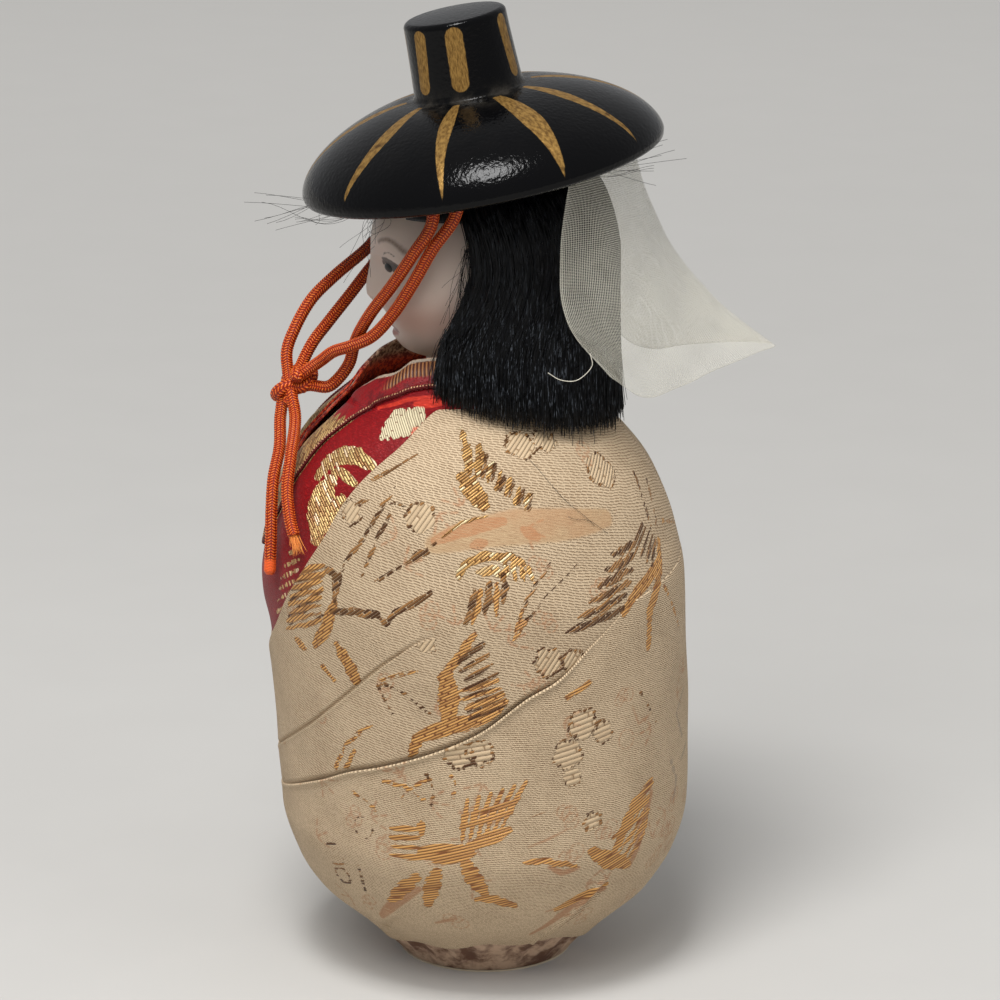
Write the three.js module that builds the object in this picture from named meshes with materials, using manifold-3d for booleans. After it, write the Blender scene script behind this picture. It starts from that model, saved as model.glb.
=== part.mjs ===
// A limbless court-lady doll on a small round foot: a hollow moulded body dressed in brocade robes,
// a head that turns on a neck peg, a bobbed wig, a lacquered hat with a gauze veil and tied chin cords.
// Millimetres, +Z up. The doll faces -Y and its left side is +X. The origin is on the ground at the foot.
import * as THREE from 'three';
import { mergeVertices } from 'three/addons/utils/BufferGeometryUtils.js';
import Module from 'manifold-3d';

const wasm = await Module();
wasm.setup();

// Fits and sheet goods
const seatGap = 0.3;
const clothThickness = 0.5;
const layerGap = 0.4;
const layerStep = clothThickness + layerGap;

// Dressed body: radius and sideways lean of the outer cloth at each height
const robeProfile = [
  [0, 16.2], [5, 20.3], [9, 24.4], [14, 29.8], [20, 33.5], [28, 35.8], [40, 36.2], [55, 36.6],
  [70, 37.1], [80, 35.5], [88, 33.1], [95, 28.8], [101, 22.6], [107, 16.2], [112, 10.9],
];
const leanProfile = [[0, 0], [30, -0.1], [70, -2.3], [112, -6]];

// Cloth edges: height of each edge at an angle from the front, the same on both sides
const outerRobeEdge = [
  [0, 54], [12, 59], [23, 64.2], [34, 72.1], [42, 78.7], [47, 83], [52, 88.6], [58, 93.3],
  [66, 97.3], [83, 103.6], [120, 104.8], [180, 105.2],
];
const redRobeEdge = [
  [0, 74], [15, 79], [25, 85], [30, 91], [34, 97], [38, 100.3], [48, 103.7], [64, 105.6],
  [78, 106.4], [180, 106.8],
];
const middleCollarEdge = [
  [0, 86], [12, 89], [20, 93], [25, 97.5], [30, 103], [36, 105.6], [59, 107.6], [180, 108.2],
];
const innerCollarEdge = [
  [0, 90], [12, 93], [20, 97.5], [25, 102], [30, 105.2], [45, 107.4], [180, 109.2],
];
const upperFoldEdge = [
  [0, 37], [11, 39.6], [35, 47.6], [46, 52.6], [55, 57.2], [61, 60.4], [68, 64], [79, 68.5], [180, 80],
];
const skirtFoldEdge = [
  [0, 30.5], [11, 32.1], [40, 38.7], [52, 42.1], [62, 44.2], [77, 47.8], [90, 51.7], [104, 57.8],
  [112, 60.2], [125, 66.5], [140, 71.5], [180, 74],
];
// Angles from the front where the cloth is shaped, closest where the collars run steep
const halfAngles = [
  0, 6, 12, 17, 21, 24, 27, 30, 33, 36, 40, 45, 50, 56, 63, 72, 83, 95, 108, 122, 140, 160, 180,
];
const hemHeight = 7.4;
const hemWave = 1.2;
const hemWaves = 3;
const hemWavePhase = 144;
const clothOverlap = 4.5;
const collarOverlap = 4;
const foldRise = 4;
const dipRise = 3.2;
const foldFadeStart = 62;
const foldFadeEnd = 82;
const footCoverHeight = 12;

// Moulded body core
const coreWall = 2.2;
const coreTop = 101.6;
const waistDepth = 2 * layerStep + seatGap;
const shoulderDepth = 4 * layerStep + seatGap;
const shoulderStart = 60;
const shoulderEnd = 78;

// Foot closure and weight
const baseSheetThickness = 0.3;
const baseBoardThickness = 2;
const weightHeight = 11;

// Neck joint
const neckY = -4.2;
const pegRadius = 3;
const pegBottom = 93;
const pegInHead = 11;
const bushWall = 4.4;
const bushFlangeWidth = 2.2;
const bushFlangeThickness = 1;
const neckRadius = 6.4;

// Head, in its own bowed frame
const headRise = 23.4;
const headCentre = new THREE.Vector3(0, -2.5, coreTop + headRise);
const headBow = 10.95;
const headHalfWidth = 14.6;
const headFront = 16.7;
const headBack = 16.5;
const headAbove = 17.5;
const headBelow = 16;
const headSquareness = 2.5;
const jawTaper = 0.22;
const noseHeight = -2.3;
const noseLift = 1.7;
const noseHalfWidth = 1.7;
const noseBridge = 3.2;
const noseUnderside = 1.5;
const chinHeight = -13;
const chinLift = 2.6;
const chinHalfWidth = 5;
const chinHalfHeight = 2.8;
const eyeSide = 6.9;
const eyeHeight = 2.8;
const eyeHalfWidth = 2.7;
const eyeHalfHeight = 1.15;
const eyeHalfDepth = 1.3;
const eyeTurn = 32;
const eyeInset = 0.25;
const eyeHollow = 2.1;
const eyeHollowHalfWidth = 3.4;
const eyeHollowHalfHeight = 2.6;
const mouthRecess = 1;
const mouthTop = 3;
const mouthBottom = 9;

// Bobbed wig
const hairHalfWidth = 18.6;
const hairFlare = 0.13;
const hairHalfDepth = 19.8;
const hairCentreY = 3;
const hairShoulderRise = 3;
const hairTopRise = 22.2;
const hairlineRise = 9.6;
const hairDomePower = 2.4;
const hairEndHeight = 104.6;
const hairEndSlope = -0.244;
const hairFaceTop = -1.8;
const hairFaceBottom = -6.2;
const hairLayer = 2;
const hairTrim = 6;
const shoulderClear = 1;
const collarRoomRise = 11.4;
const collarMouth = 107;

// Hat, in its own tilted frame with the origin in the rim plane
const hatRise = 17.3;
const hatCentre = new THREE.Vector3(0, -0.3, headCentre.z + hatRise);
const hatTilt = 10.95;
const rimRadius = 31.3;
const domeHeight = 12.4;
const domePowerAcross = 1.61;
const domePowerUp = 1.71;
const crownBaseRadius = 9.3;
const crownTopRadius = 8.8;
const hatHeight = 26;
const crownEdge = 0.7;
const rimDrop = 1.3;
const hatWall = 2.6;
const padRadius = 8;

// Chin cords: one 2 mm braid looped through the hat and tied at the breast
const cordDiameter = 2;
const cordSides = 8;
const knotSides = 6;
const knotCentre = new THREE.Vector3(0.4, -32.9, 103);
const knotTilt = 35;
const knotCordDiameter = 1.7;
const knotRing = 2.48;
const knotSpread = 1.17;
const knotSteps = 40;
const knotOpening = 0.24;
const tailLift = 1.7;

// Gauze veil
const veilThickness = 0.5;
const veilTopGap = 1.2;
const veilFolds = 4;
const veilFoldDepth = 1.1;
// Guide points from side to back ridge: the top in the hat's frame, then three down to the hem
const veilTops = [[17.5, 16.5], [12.5, 21], [6.5, 24.2], [0, 25.2]];
const veilDrops = [
  [[20.6, 12.6, 131], [22.2, 13.8, 119.5], [20, 21, 109.6]],
  [[16.5, 22.4, 131.5], [18.6, 24, 118], [17, 27.6, 105]],
  [[9, 27.2, 131], [11.4, 32, 118], [11, 36.4, 107.4]],
  [[0, 30, 130.4], [0, 39.4, 117.8], [0, 50, 109.6]],
];

// Gold edging cord of the red robe
const edgingRadius = 0.45;
const edgingReach = 130;

// Monotone cubic curve through [position, value] stations, level beyond its ends
function stationCurve(stations) {
  const last = stations.length - 1;
  const grade = [];
  for (let i = 0; i < last; i += 1) {
    grade.push((stations[i + 1][1] - stations[i][1]) / (stations[i + 1][0] - stations[i][0]));
  }
  const slope = stations.map((station, i) => {
    if (i === 0) return grade[0];
    if (i === last) return grade[last - 1];
    if (grade[i - 1] * grade[i] <= 0) return 0;
    return (2 * grade[i - 1] * grade[i]) / (grade[i - 1] + grade[i]);
  });
  return (position) => {
    if (position <= stations[0][0]) return stations[0][1];
    if (position >= stations[last][0]) return stations[last][1];
    let i = 0;
    while (position > stations[i + 1][0]) i += 1;
    const span = stations[i + 1][0] - stations[i][0];
    const t = (position - stations[i][0]) / span;
    const rise = t * t * (3 - 2 * t);
    const startPull = t * (1 - t) * (1 - t) * span;
    const endPull = t * t * (t - 1) * span;
    const between = stations[i][1] * (1 - rise) + stations[i + 1][1] * rise;
    return between + slope[i] * startPull + slope[i + 1] * endPull;
  };
}

const robeRadius = stationCurve(robeProfile);
const robeLean = stationCurve(leanProfile);
const edgeOf = (stations) => {
  const curve = stationCurve(stations);
  return (angle) => curve(Math.abs(angle));
};
const outerEdge = edgeOf(outerRobeEdge);
const redEdge = edgeOf(redRobeEdge);
const middleEdge = edgeOf(middleCollarEdge);
const innerEdge = edgeOf(innerCollarEdge);
const upperFold = edgeOf(upperFoldEdge);
const skirtFold = edgeOf(skirtFoldEdge);
const { smoothstep, degToRad, lerp } = THREE.MathUtils;

// Point on the dressed body: an angle from the front, a height and a distance out from the outer cloth
function robePoint(angle, height, offset) {
  const probe = 0.05;
  const slope = (robeRadius(height + probe) - robeRadius(height - probe)) / (2 * probe);
  const stretch = Math.hypot(1, slope);
  const radius = robeRadius(height) + offset / stretch;
  const turn = degToRad(angle);
  return new THREE.Vector3(
    radius * Math.sin(turn),
    robeLean(height) - radius * Math.cos(turn),
    height - (offset * slope) / stretch,
  );
}

// Closed mesh from vertices and triangles, turned outward
function closedMesh(points, triangles) {
  let volume = 0;
  const cross = new THREE.Vector3();
  for (const [a, b, c] of triangles) {
    volume += points[a].dot(cross.crossVectors(points[b], points[c]));
  }
  const index = triangles.flatMap(([a, b, c]) => (volume < 0 ? [a, c, b] : [a, b, c]));
  const geometry = new THREE.BufferGeometry();
  geometry.setAttribute('position', new THREE.Float32BufferAttribute(points.flatMap((p) => p.toArray()), 3));
  geometry.setIndex(index);
  return geometry;
}

// Sheet with thickness: an outer and an inner face over one grid, walled at its open borders
function sheetSolid(rows, columns, around, outerPoint, innerPoint) {
  const across = around ? columns : columns + 1;
  const points = [];
  for (const place of [outerPoint, innerPoint]) {
    for (let j = 0; j <= rows; j += 1) {
      for (let i = 0; i < across; i += 1) points.push(place(j, i));
    }
  }
  const layer = (rows + 1) * across;
  const id = (side, j, i) => side * layer + j * across + (i % across);
  const triangles = [];
  const quad = (a, b, c, d) => {
    const level = points[a].distanceTo(points[c]) <= points[b].distanceTo(points[d]);
    if (level) triangles.push([a, b, c], [a, c, d]);
    else triangles.push([a, b, d], [b, c, d]);
  };
  for (let j = 0; j < rows; j += 1) {
    for (let i = 0; i < columns; i += 1) {
      quad(id(0, j, i), id(0, j, i + 1), id(0, j + 1, i + 1), id(0, j + 1, i));
      quad(id(1, j, i), id(1, j + 1, i), id(1, j + 1, i + 1), id(1, j, i + 1));
    }
  }
  for (let i = 0; i < columns; i += 1) {
    quad(id(0, 0, i), id(1, 0, i), id(1, 0, i + 1), id(0, 0, i + 1));
    quad(id(0, rows, i), id(0, rows, i + 1), id(1, rows, i + 1), id(1, rows, i));
  }
  if (!around) {
    for (let j = 0; j < rows; j += 1) {
      quad(id(0, j, 0), id(0, j + 1, 0), id(1, j + 1, 0), id(1, j, 0));
      quad(id(0, j, columns), id(1, j, columns), id(1, j + 1, columns), id(0, j + 1, columns));
    }
  }
  return closedMesh(points, triangles);
}

// Cloth laid on the body over a list of angles. Each level gives a row's height and offset at an angle.
function clothPanel(levels, angles, around) {
  const place = (depth) => (j, i) => {
    const { height, offset } = levels[j](angles[i]);
    return robePoint(angles[i], height, offset - depth);
  };
  const columns = around ? angles.length : angles.length - 1;
  return sheetSolid(levels.length - 1, columns, around, place(0), place(clothThickness));
}

// Levels between an upper and a lower edge at one offset, closer together downwards as crowding grows
function plainLevels(upper, lower, count, offset, crowding = 1) {
  return Array.from({ length: count + 1 }, (unused, j) => (angle) => ({
    height: lerp(lower(angle), upper(angle), (1 - j / count) ** crowding),
    offset,
  }));
}

// Radius and lean of the surface that lies a depth inside the outer cloth, at a true height
function insideAt(trueHeight, depth) {
  let height = trueHeight;
  for (let i = 0; i < 30; i += 1) height -= 0.6 * (robePoint(0, height, -depth).z - trueHeight);
  const lean = robeLean(height);
  return { radius: lean - robePoint(0, height, -depth).y, lean };
}

// Ring solid: a closed section of [radius, height, lean] carried round the upright axis
function ringSolid(section, segments) {
  const points = [];
  for (const [radius, height, lean] of section) {
    for (let i = 0; i < segments; i += 1) {
      const turn = (2 * Math.PI * i) / segments;
      points.push(new THREE.Vector3(radius * Math.sin(turn), lean - radius * Math.cos(turn), height));
    }
  }
  const triangles = [];
  const count = section.length;
  for (let j = 0; j < count; j += 1) {
    const next = (j + 1) % count;
    for (let i = 0; i < segments; i += 1) {
      const right = (i + 1) % segments;
      const corner = [j * segments + i, j * segments + right, next * segments + right, next * segments + i];
      triangles.push([corner[0], corner[1], corner[2]], [corner[0], corner[2], corner[3]]);
    }
  }
  return closedMesh(points, triangles);
}

// Turned piece from a [radius, height] profile that starts and ends on the axis
function turned(profile, segments) {
  const geometry = new THREE.LatheGeometry(profile.map(([r, h]) => new THREE.Vector2(r, h)), segments);
  geometry.rotateX(Math.PI / 2);
  return geometry;
}

// Round cord along a smooth route
function cordAlong(route, radius, sides, steps) {
  const section = new THREE.Shape();
  for (let i = 0; i < sides; i += 1) {
    const turn = (2 * Math.PI * i) / sides;
    const x = radius * Math.cos(turn);
    const y = radius * Math.sin(turn);
    if (i === 0) section.moveTo(x, y);
    else section.lineTo(x, y);
  }
  section.closePath();
  const path = new THREE.CatmullRomCurve3(route, false, 'centripetal');
  return new THREE.ExtrudeGeometry(section, { steps, bevelEnabled: false, extrudePath: path });
}

// Closed ball-like form with a pole above and below, from a function of longitude and latitude
function ballForm(rows, columns, place) {
  const points = [place(0, Math.PI / 2)];
  for (let j = 1; j < rows; j += 1) {
    const latitude = Math.PI / 2 - (Math.PI * j) / rows;
    for (let i = 0; i < columns; i += 1) points.push(place((2 * Math.PI * i) / columns, latitude));
  }
  points.push(place(0, -Math.PI / 2));
  const bottom = points.length - 1;
  const id = (j, i) => 1 + (j - 1) * columns + (i % columns);
  const triangles = [];
  for (let i = 0; i < columns; i += 1) {
    triangles.push([0, id(1, i), id(1, i + 1)], [bottom, id(rows - 1, i + 1), id(rows - 1, i)]);
    for (let j = 1; j < rows - 1; j += 1) {
      triangles.push([id(j, i), id(j + 1, i), id(j + 1, i + 1)], [id(j, i), id(j + 1, i + 1), id(j, i + 1)]);
    }
  }
  return closedMesh(points, triangles);
}

// Conversions for cutting one closed mesh with another
function asSolid(geometry) {
  const bare = geometry.clone();
  bare.deleteAttribute('normal');
  bare.deleteAttribute('uv');
  const merged = mergeVertices(bare, 1e-4);
  return new wasm.Manifold(new wasm.Mesh({
    numProp: 3,
    vertProperties: new Float32Array(merged.attributes.position.array),
    triVerts: new Uint32Array(merged.index.array),
  }));
}

function asGeometry(solid) {
  const mesh = solid.getMesh();
  const geometry = new THREE.BufferGeometry();
  geometry.setAttribute('position', new THREE.BufferAttribute(new Float32Array(mesh.vertProperties), 3));
  geometry.setIndex(new THREE.BufferAttribute(new Uint32Array(mesh.triVerts), 1));
  return geometry;
}

function cut(geometry, ...cutters) {
  let solid = asSolid(geometry);
  for (const cutter of cutters) solid = solid.subtract(asSolid(cutter));
  return asGeometry(solid);
}

const doll = new THREE.Group();
const bodyGroup = new THREE.Group();
const headGroup = new THREE.Group();
const hatGroup = new THREE.Group();
doll.add(bodyGroup, headGroup, hatGroup);
headGroup.position.copy(headCentre);
headGroup.rotation.x = degToRad(headBow);
hatGroup.position.copy(hatCentre);
hatGroup.rotation.x = degToRad(hatTilt);
doll.updateMatrixWorld(true);
const headToWorld = headGroup.matrixWorld.clone();
const worldToHead = headToWorld.clone().invert();
const hatToWorld = hatGroup.matrixWorld.clone();

function addPiece(group, name, geometry, color, roughness, metalness = 0) {
  const piece = new THREE.Mesh(geometry, new THREE.MeshStandardMaterial({ color, roughness, metalness }));
  piece.name = name;
  group.add(piece);
  return piece;
}

// Foot: a paper sheet underneath, a turned board above it and a weight that keeps the doll upright
const boardBottom = baseSheetThickness + seatGap;
const boardTop = boardBottom + baseBoardThickness;
const coreBottom = boardTop + seatGap;
const baseSegments = 40;
const disc = (radius, bottom, top, segments) => turned(
  [[0, bottom], [radius, bottom], [radius, top], [0, top]],
  segments,
);
const sheetRadius = robeRadius(0) - layerStep;
addPiece(bodyGroup, 'base_sheet', disc(sheetRadius, 0, baseSheetThickness, baseSegments), 0xb9a78a, 0.9);
const footLining = robePoint(0, 0, -layerStep - clothThickness);
const boardRadius = robeLean(0) - footLining.y - 2 * seatGap;
addPiece(bodyGroup, 'base_board', disc(boardRadius, boardBottom, boardTop, baseSegments), 0xa9834f, 0.8);

// Moulded core: thinner dressing below the waist, room for four cloth layers at the shoulder
const coreDepth = (height) => lerp(waistDepth, shoulderDepth, smoothstep(height, shoulderStart, shoulderEnd));
const coreRows = 10;
const coreHeights = Array.from({ length: coreRows + 1 }, (unused, i) => {
  const share = (1 - Math.cos((Math.PI * i) / coreRows)) / 2;
  return lerp(coreBottom, coreTop, share);
});
const coreSpot = (height, extra) => {
  const { radius, lean } = insideAt(height, coreDepth(height) + extra);
  return [radius, height, lean];
};
const bushRadius = pegRadius + seatGap + bushWall;
const coreHole = bushRadius + seatGap;
const coreInside = coreHeights.map((z) => Math.min(z, coreTop - coreWall));
const coreSection = [
  ...coreHeights.map((z) => coreSpot(z, 0)),
  [coreHole, coreTop, neckY],
  [coreHole, coreTop - coreWall, neckY],
  ...coreInside.slice(0, -1).reverse().map((z) => coreSpot(z, coreWall)),
];
addPiece(bodyGroup, 'body_core', ringSolid(coreSection, 30), 0xcbbfa6, 0.9);
const weightTop = coreBottom + weightHeight;
const weightRows = 3;
const weightSide = Array.from({ length: weightRows + 1 }, (unused, i) => {
  const height = lerp(coreBottom, weightTop, i / weightRows);
  return [insideAt(height, waistDepth + coreWall).radius - 3 * seatGap, height];
});
const weightProfile = [[0, coreBottom], ...weightSide, [0, weightTop]];
addPiece(bodyGroup, 'ballast_weight', turned(weightProfile, 28), 0x8d7f70, 0.95);

// Neck bush: a flanged wooden sleeve in the core's top
const flangeBottom = coreTop + seatGap;
const flangeTop = flangeBottom + bushFlangeThickness;
const bushBore = pegRadius + seatGap;
const bushSection = [
  [bushBore, pegBottom, neckY],
  [bushRadius, pegBottom, neckY],
  [bushRadius, flangeBottom, neckY],
  [bushRadius + bushFlangeWidth, flangeBottom, neckY],
  [bushRadius + bushFlangeWidth, flangeTop, neckY],
  [bushBore, flangeTop, neckY],
];
addPiece(bodyGroup, 'neck_bush', ringSolid(bushSection, 28), 0xa9834f, 0.7);

// Cloth layers, from the skin of the foot up to the innermost collar
const hemEdge = (angle) => hemHeight + hemWave * Math.sin(degToRad(hemWaves * angle + hemWavePhase));
const ringAngles = [...halfAngles.slice(1, -1).reverse().map((angle) => -angle), ...halfAngles];
const footLevels = plainLevels(() => footCoverHeight, () => 0, 3, -layerStep);
addPiece(bodyGroup, 'foot_cover', clothPanel(footLevels, ringAngles, true), 0x8a7a66, 0.85);

const skirtRows = 7;
const skirtCrowding = 1.7;
const skirtLift = 0.25;
const skirtLevels = plainLevels(skirtFold, hemEdge, skirtRows, 0, skirtCrowding);
const skirtTop = (angle) => ({ height: skirtFold(angle), offset: skirtLift });
const skirtCloth = clothPanel([skirtTop, ...skirtLevels.slice(1)], ringAngles, true);
addPiece(bodyGroup, 'skirt_wrap', skirtCloth, 0xcdb996, 0.6);

// Each side of the outer robe dips under the folded tuck and again under the skirt
const foldShare = (angle) => 1 - smoothstep(Math.abs(angle), foldFadeStart, foldFadeEnd);
const tuckHeight = (angle) => Math.min(upperFold(angle), outerEdge(angle) - 2 * foldRise);
const robeLevels = [
  (angle) => ({ height: outerEdge(angle), offset: 0 }),
  (angle) => ({ height: outerEdge(angle) - clothOverlap, offset: 0 }),
  (angle) => ({ height: (outerEdge(angle) - clothOverlap + tuckHeight(angle) + foldRise) / 2, offset: 0 }),
  (angle) => ({ height: tuckHeight(angle) + foldRise, offset: 0 }),
  (angle) => ({ height: tuckHeight(angle) + clothThickness, offset: -layerStep * foldShare(angle) }),
  (angle) => ({ height: tuckHeight(angle), offset: 0 }),
  (angle) => ({ height: lerp(tuckHeight(angle), skirtFold(angle) + foldRise, 0.5), offset: 0 }),
  (angle) => ({ height: skirtFold(angle) + dipRise, offset: 0 }),
  (angle) => ({ height: skirtFold(angle) + clothThickness, offset: -layerStep }),
  (angle) => ({ height: skirtFold(angle) - clothOverlap, offset: -layerStep }),
];
const seamAngle = 0.4;
const leftAngles = [seamAngle, ...halfAngles.slice(1, -1), 180 - seamAngle];
const rightAngles = leftAngles.map((angle) => -angle).reverse();
addPiece(bodyGroup, 'robe_left', clothPanel(robeLevels, leftAngles, false), 0xcdb996, 0.6);
addPiece(bodyGroup, 'robe_right', clothPanel(robeLevels, rightAngles, false), 0xcdb996, 0.6);

const redLower = (angle) => outerEdge(angle) - clothOverlap;
const redLevels = plainLevels(redEdge, redLower, 5, -layerStep);
addPiece(bodyGroup, 'robe_red', clothPanel(redLevels, ringAngles, true), 0x8c191e, 0.6);
const middleLower = (angle) => redEdge(angle) - collarOverlap;
const middleLevels = plainLevels(middleEdge, middleLower, 3, -2 * layerStep);
addPiece(bodyGroup, 'collar_middle', clothPanel(middleLevels, ringAngles, true), 0x9a2a22, 0.6);
const innerLower = (angle) => middleEdge(angle) - collarOverlap;
const innerLevels = plainLevels(innerEdge, innerLower, 3, -3 * layerStep);
addPiece(bodyGroup, 'collar_inner', clothPanel(innerLevels, ringAngles, true), 0x8b7a68, 0.7);

// Gold cord sewn along the upper edge of the red robe, lying on the middle collar
const edgingOffset = -2 * layerStep + layerGap + edgingRadius;
const edgingRoute = [];
const edgingStep = 6;
for (let angle = -edgingReach; angle <= edgingReach; angle += edgingStep) {
  const at = robePoint(angle, redEdge(angle), edgingOffset);
  const before = robePoint(angle - 1, redEdge(angle - 1), edgingOffset);
  const after = robePoint(angle + 1, redEdge(angle + 1), edgingOffset);
  const outward = robePoint(angle, redEdge(angle), edgingOffset + 1).sub(at).normalize();
  const along = after.sub(before).normalize();
  const upward = outward.clone().cross(along).normalize();
  if (upward.z < 0) upward.negate();
  edgingRoute.push(at.addScaledVector(upward, edgingRadius + seatGap));
}
const edgingSteps = 36;
const edgingCord = cordAlong(edgingRoute, edgingRadius, knotSides, edgingSteps);
addPiece(bodyGroup, 'collar_edging', edgingCord, 0xc79a45, 0.4, 0.6);

// Head: a squared ball with a narrowing jaw, a nose, a set-back mouth, a chin and eye hollows
const bump = (distance, width) => Math.exp(-(distance * distance) / (2 * width * width));
function headPoint(longitude, latitude, grow, featured) {
  const d = new THREE.Vector3(
    Math.cos(latitude) * Math.sin(longitude),
    -Math.cos(latitude) * Math.cos(longitude),
    Math.sin(latitude),
  );
  const power = headSquareness;
  const reach = (Math.abs(d.x) ** power + Math.abs(d.y) ** power + Math.abs(d.z) ** power) ** (-1 / power);
  const p = new THREE.Vector3(
    d.x * reach * (headHalfWidth + grow),
    d.y * reach * ((d.y < 0 ? headFront : headBack) + grow),
    d.z * reach * ((d.z > 0 ? headAbove : headBelow) + grow),
  );
  p.x *= 1 - jawTaper * smoothstep(-p.z, 0, headBelow);
  if (!featured || p.y > 0) return p;
  const facing = smoothstep(-p.y, 0, headFront / 2);
  const noseReach = p.z > noseHeight ? noseBridge : noseUnderside;
  const nose = noseLift * bump(p.x, noseHalfWidth) * bump(p.z - noseHeight, noseReach);
  const chin = chinLift * bump(p.x, chinHalfWidth) * bump(p.z - chinHeight, chinHalfHeight);
  const beside = Math.abs(p.x) - eyeSide;
  const hollow = eyeHollow * bump(beside, eyeHollowHalfWidth) * bump(p.z - eyeHeight, eyeHollowHalfHeight);
  const recess = mouthRecess * smoothstep(-p.z, mouthTop, mouthBottom);
  p.y -= facing * (nose + chin - hollow - recess);
  return p;
}
const headRows = 18;
const headColumns = 26;
const headForm = (grow, featured) => ballForm(
  headRows,
  headColumns,
  (longitude, latitude) => headPoint(longitude, latitude, grow, featured),
);
const neckBottom = flangeTop + seatGap;
const upright = (radius, bottom, top, segments) => disc(radius, bottom, top, segments).translate(0, neckY, 0);
const neckPlug = upright(neckRadius, neckBottom, headCentre.z - headBelow / 2, 20).applyMatrix4(worldToHead);
const pegTop = neckBottom + pegInHead;
const pegBore = upright(pegRadius + seatGap, neckBottom - 1, pegTop + seatGap, 16).applyMatrix4(worldToHead);
function eyeBall(side, grow) {
  const ball = new THREE.SphereGeometry(1, 14, 8);
  ball.scale(eyeHalfWidth + grow, eyeHalfDepth + grow, eyeHalfHeight + grow);
  ball.rotateZ(degToRad(side * eyeTurn));
  const face = headFrontAt(side * eyeSide, eyeHeight);
  ball.translate(side * eyeSide, face + eyeHalfDepth - eyeInset, eyeHeight);
  return ball;
}

// Depth of the face at a place across and up it, found by stepping over its longitudes and latitudes
function headFrontAt(x, z) {
  let best = null;
  const steps = 120;
  for (let j = 1; j < steps; j += 1) {
    for (let i = 0; i <= steps; i += 1) {
      const p = headPoint((Math.PI * (i / steps - 0.5)), Math.PI * (j / steps - 0.5), 0, true);
      const miss = Math.hypot(p.x - x, p.z - z);
      if (!best || miss < best.miss) best = { miss, y: p.y };
    }
  }
  return best.y;
}
const headSolid = asSolid(headForm(0, true))
  .add(asSolid(neckPlug))
  .subtract(asSolid(pegBore))
  .subtract(asSolid(eyeBall(1, seatGap)))
  .subtract(asSolid(eyeBall(-1, seatGap)));
addPiece(headGroup, 'head', asGeometry(headSolid), 0xeadfd2, 0.45);
addPiece(headGroup, 'eye_left', eyeBall(1, 0), 0x23261f, 0.1);
addPiece(headGroup, 'eye_right', eyeBall(-1, 0), 0x23261f, 0.1);
addPiece(doll, 'neck_peg', upright(pegRadius, pegBottom + seatGap, pegTop, 20), 0xa9834f, 0.7);

// Wig: a flared bob that spreads over the shoulders, cut away for the face, the head and the robes
const hairRows = 12;
const hairColumns = 28;
const hairShoulder = headCentre.z + hairShoulderRise;
const hairTop = headCentre.z + hairTopRise;
const hairlineHeight = headCentre.z + hairlineRise;
const hairDomeHeight = hairTop - hairShoulder;
const hairEndAt = (y) => hairEndHeight + hairEndSlope * y;
const hairBottom = hairEndAt(hairCentreY + hairHalfDepth) - hairTrim;
const clearAt = (height) => robeRadius(height) + shoulderClear;
const spreadAt = (height) => clearAt(height) + hairLayer;
function hairPoint(j, i) {
  const share = j / hairRows;
  const height = share < 0.5 ? lerp(hairBottom, hairShoulder, share * 2)
    : hairShoulder + hairDomeHeight * Math.sin((Math.PI / 2) * (share * 2 - 1));
  const rise = Math.max(0, height - hairShoulder) / hairDomeHeight;
  const closing = (1 - rise ** hairDomePower) ** (1 / hairDomePower);
  const flare = hairFlare * Math.max(0, hairShoulder - height);
  const halfWidth = Math.max(hairHalfWidth + flare, spreadAt(height));
  const halfDepth = Math.max(hairHalfDepth, spreadAt(height) + neckY - hairCentreY);
  const turn = (2 * Math.PI * i) / hairColumns;
  const bow = Math.max(0, height - hairShoulder) * Math.sin(degToRad(headBow));
  const back = -halfDepth * closing * Math.cos(turn);
  return new THREE.Vector3(
    halfWidth * closing * Math.sin(turn),
    hairCentreY - bow + back,
    height + back * Math.tan(degToRad(headBow)) * rise,
  );
}
function hairForm() {
  const points = [];
  for (let j = 0; j < hairRows; j += 1) {
    for (let i = 0; i < hairColumns; i += 1) points.push(hairPoint(j, i));
  }
  const crown = points.push(hairPoint(hairRows, 0)) - 1;
  const middle = points.push(new THREE.Vector3(0, hairCentreY, hairBottom)) - 1;
  const triangles = [];
  for (let i = 0; i < hairColumns; i += 1) {
    const right = (i + 1) % hairColumns;
    triangles.push([middle, right, i]);
    for (let j = 0; j < hairRows - 1; j += 1) {
      const low = j * hairColumns;
      const high = low + hairColumns;
      triangles.push([low + i, low + right, high + right], [low + i, high + right, high + i]);
    }
    const rim = (hairRows - 1) * hairColumns;
    triangles.push([rim + i, rim + right, crown]);
  }
  return closedMesh(points, triangles);
}
const sideReach = hairTop;
function slabAcross(outline) {
  const shape = new THREE.Shape(outline.map(([y, z]) => new THREE.Vector2(y, z)));
  const slab = new THREE.ExtrudeGeometry(shape, { depth: 2 * sideReach, bevelEnabled: false });
  slab.rotateY(Math.PI / 2);
  slab.rotateX(Math.PI / 2);
  slab.translate(-sideReach, 0, 0);
  return slab;
}
const belowHair = slabAcross([
  [-sideReach, 0], [sideReach, 0], [sideReach, hairEndAt(sideReach)], [-sideReach, hairEndAt(-sideReach)],
]);
const beforeFace = slabAcross([
  [-sideReach, 0], [hairFaceBottom, 0], [hairFaceBottom, hairEndHeight],
  [hairFaceTop, hairlineHeight], [-sideReach, hairlineHeight],
]);
const collarRoom = coreTop + collarRoomRise;
const clearRows = 4;
const clearHeights = Array.from({ length: clearRows + 1 }, (unused, i) => (
  lerp(hairBottom - seatGap, collarMouth, i / clearRows)
));
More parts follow.
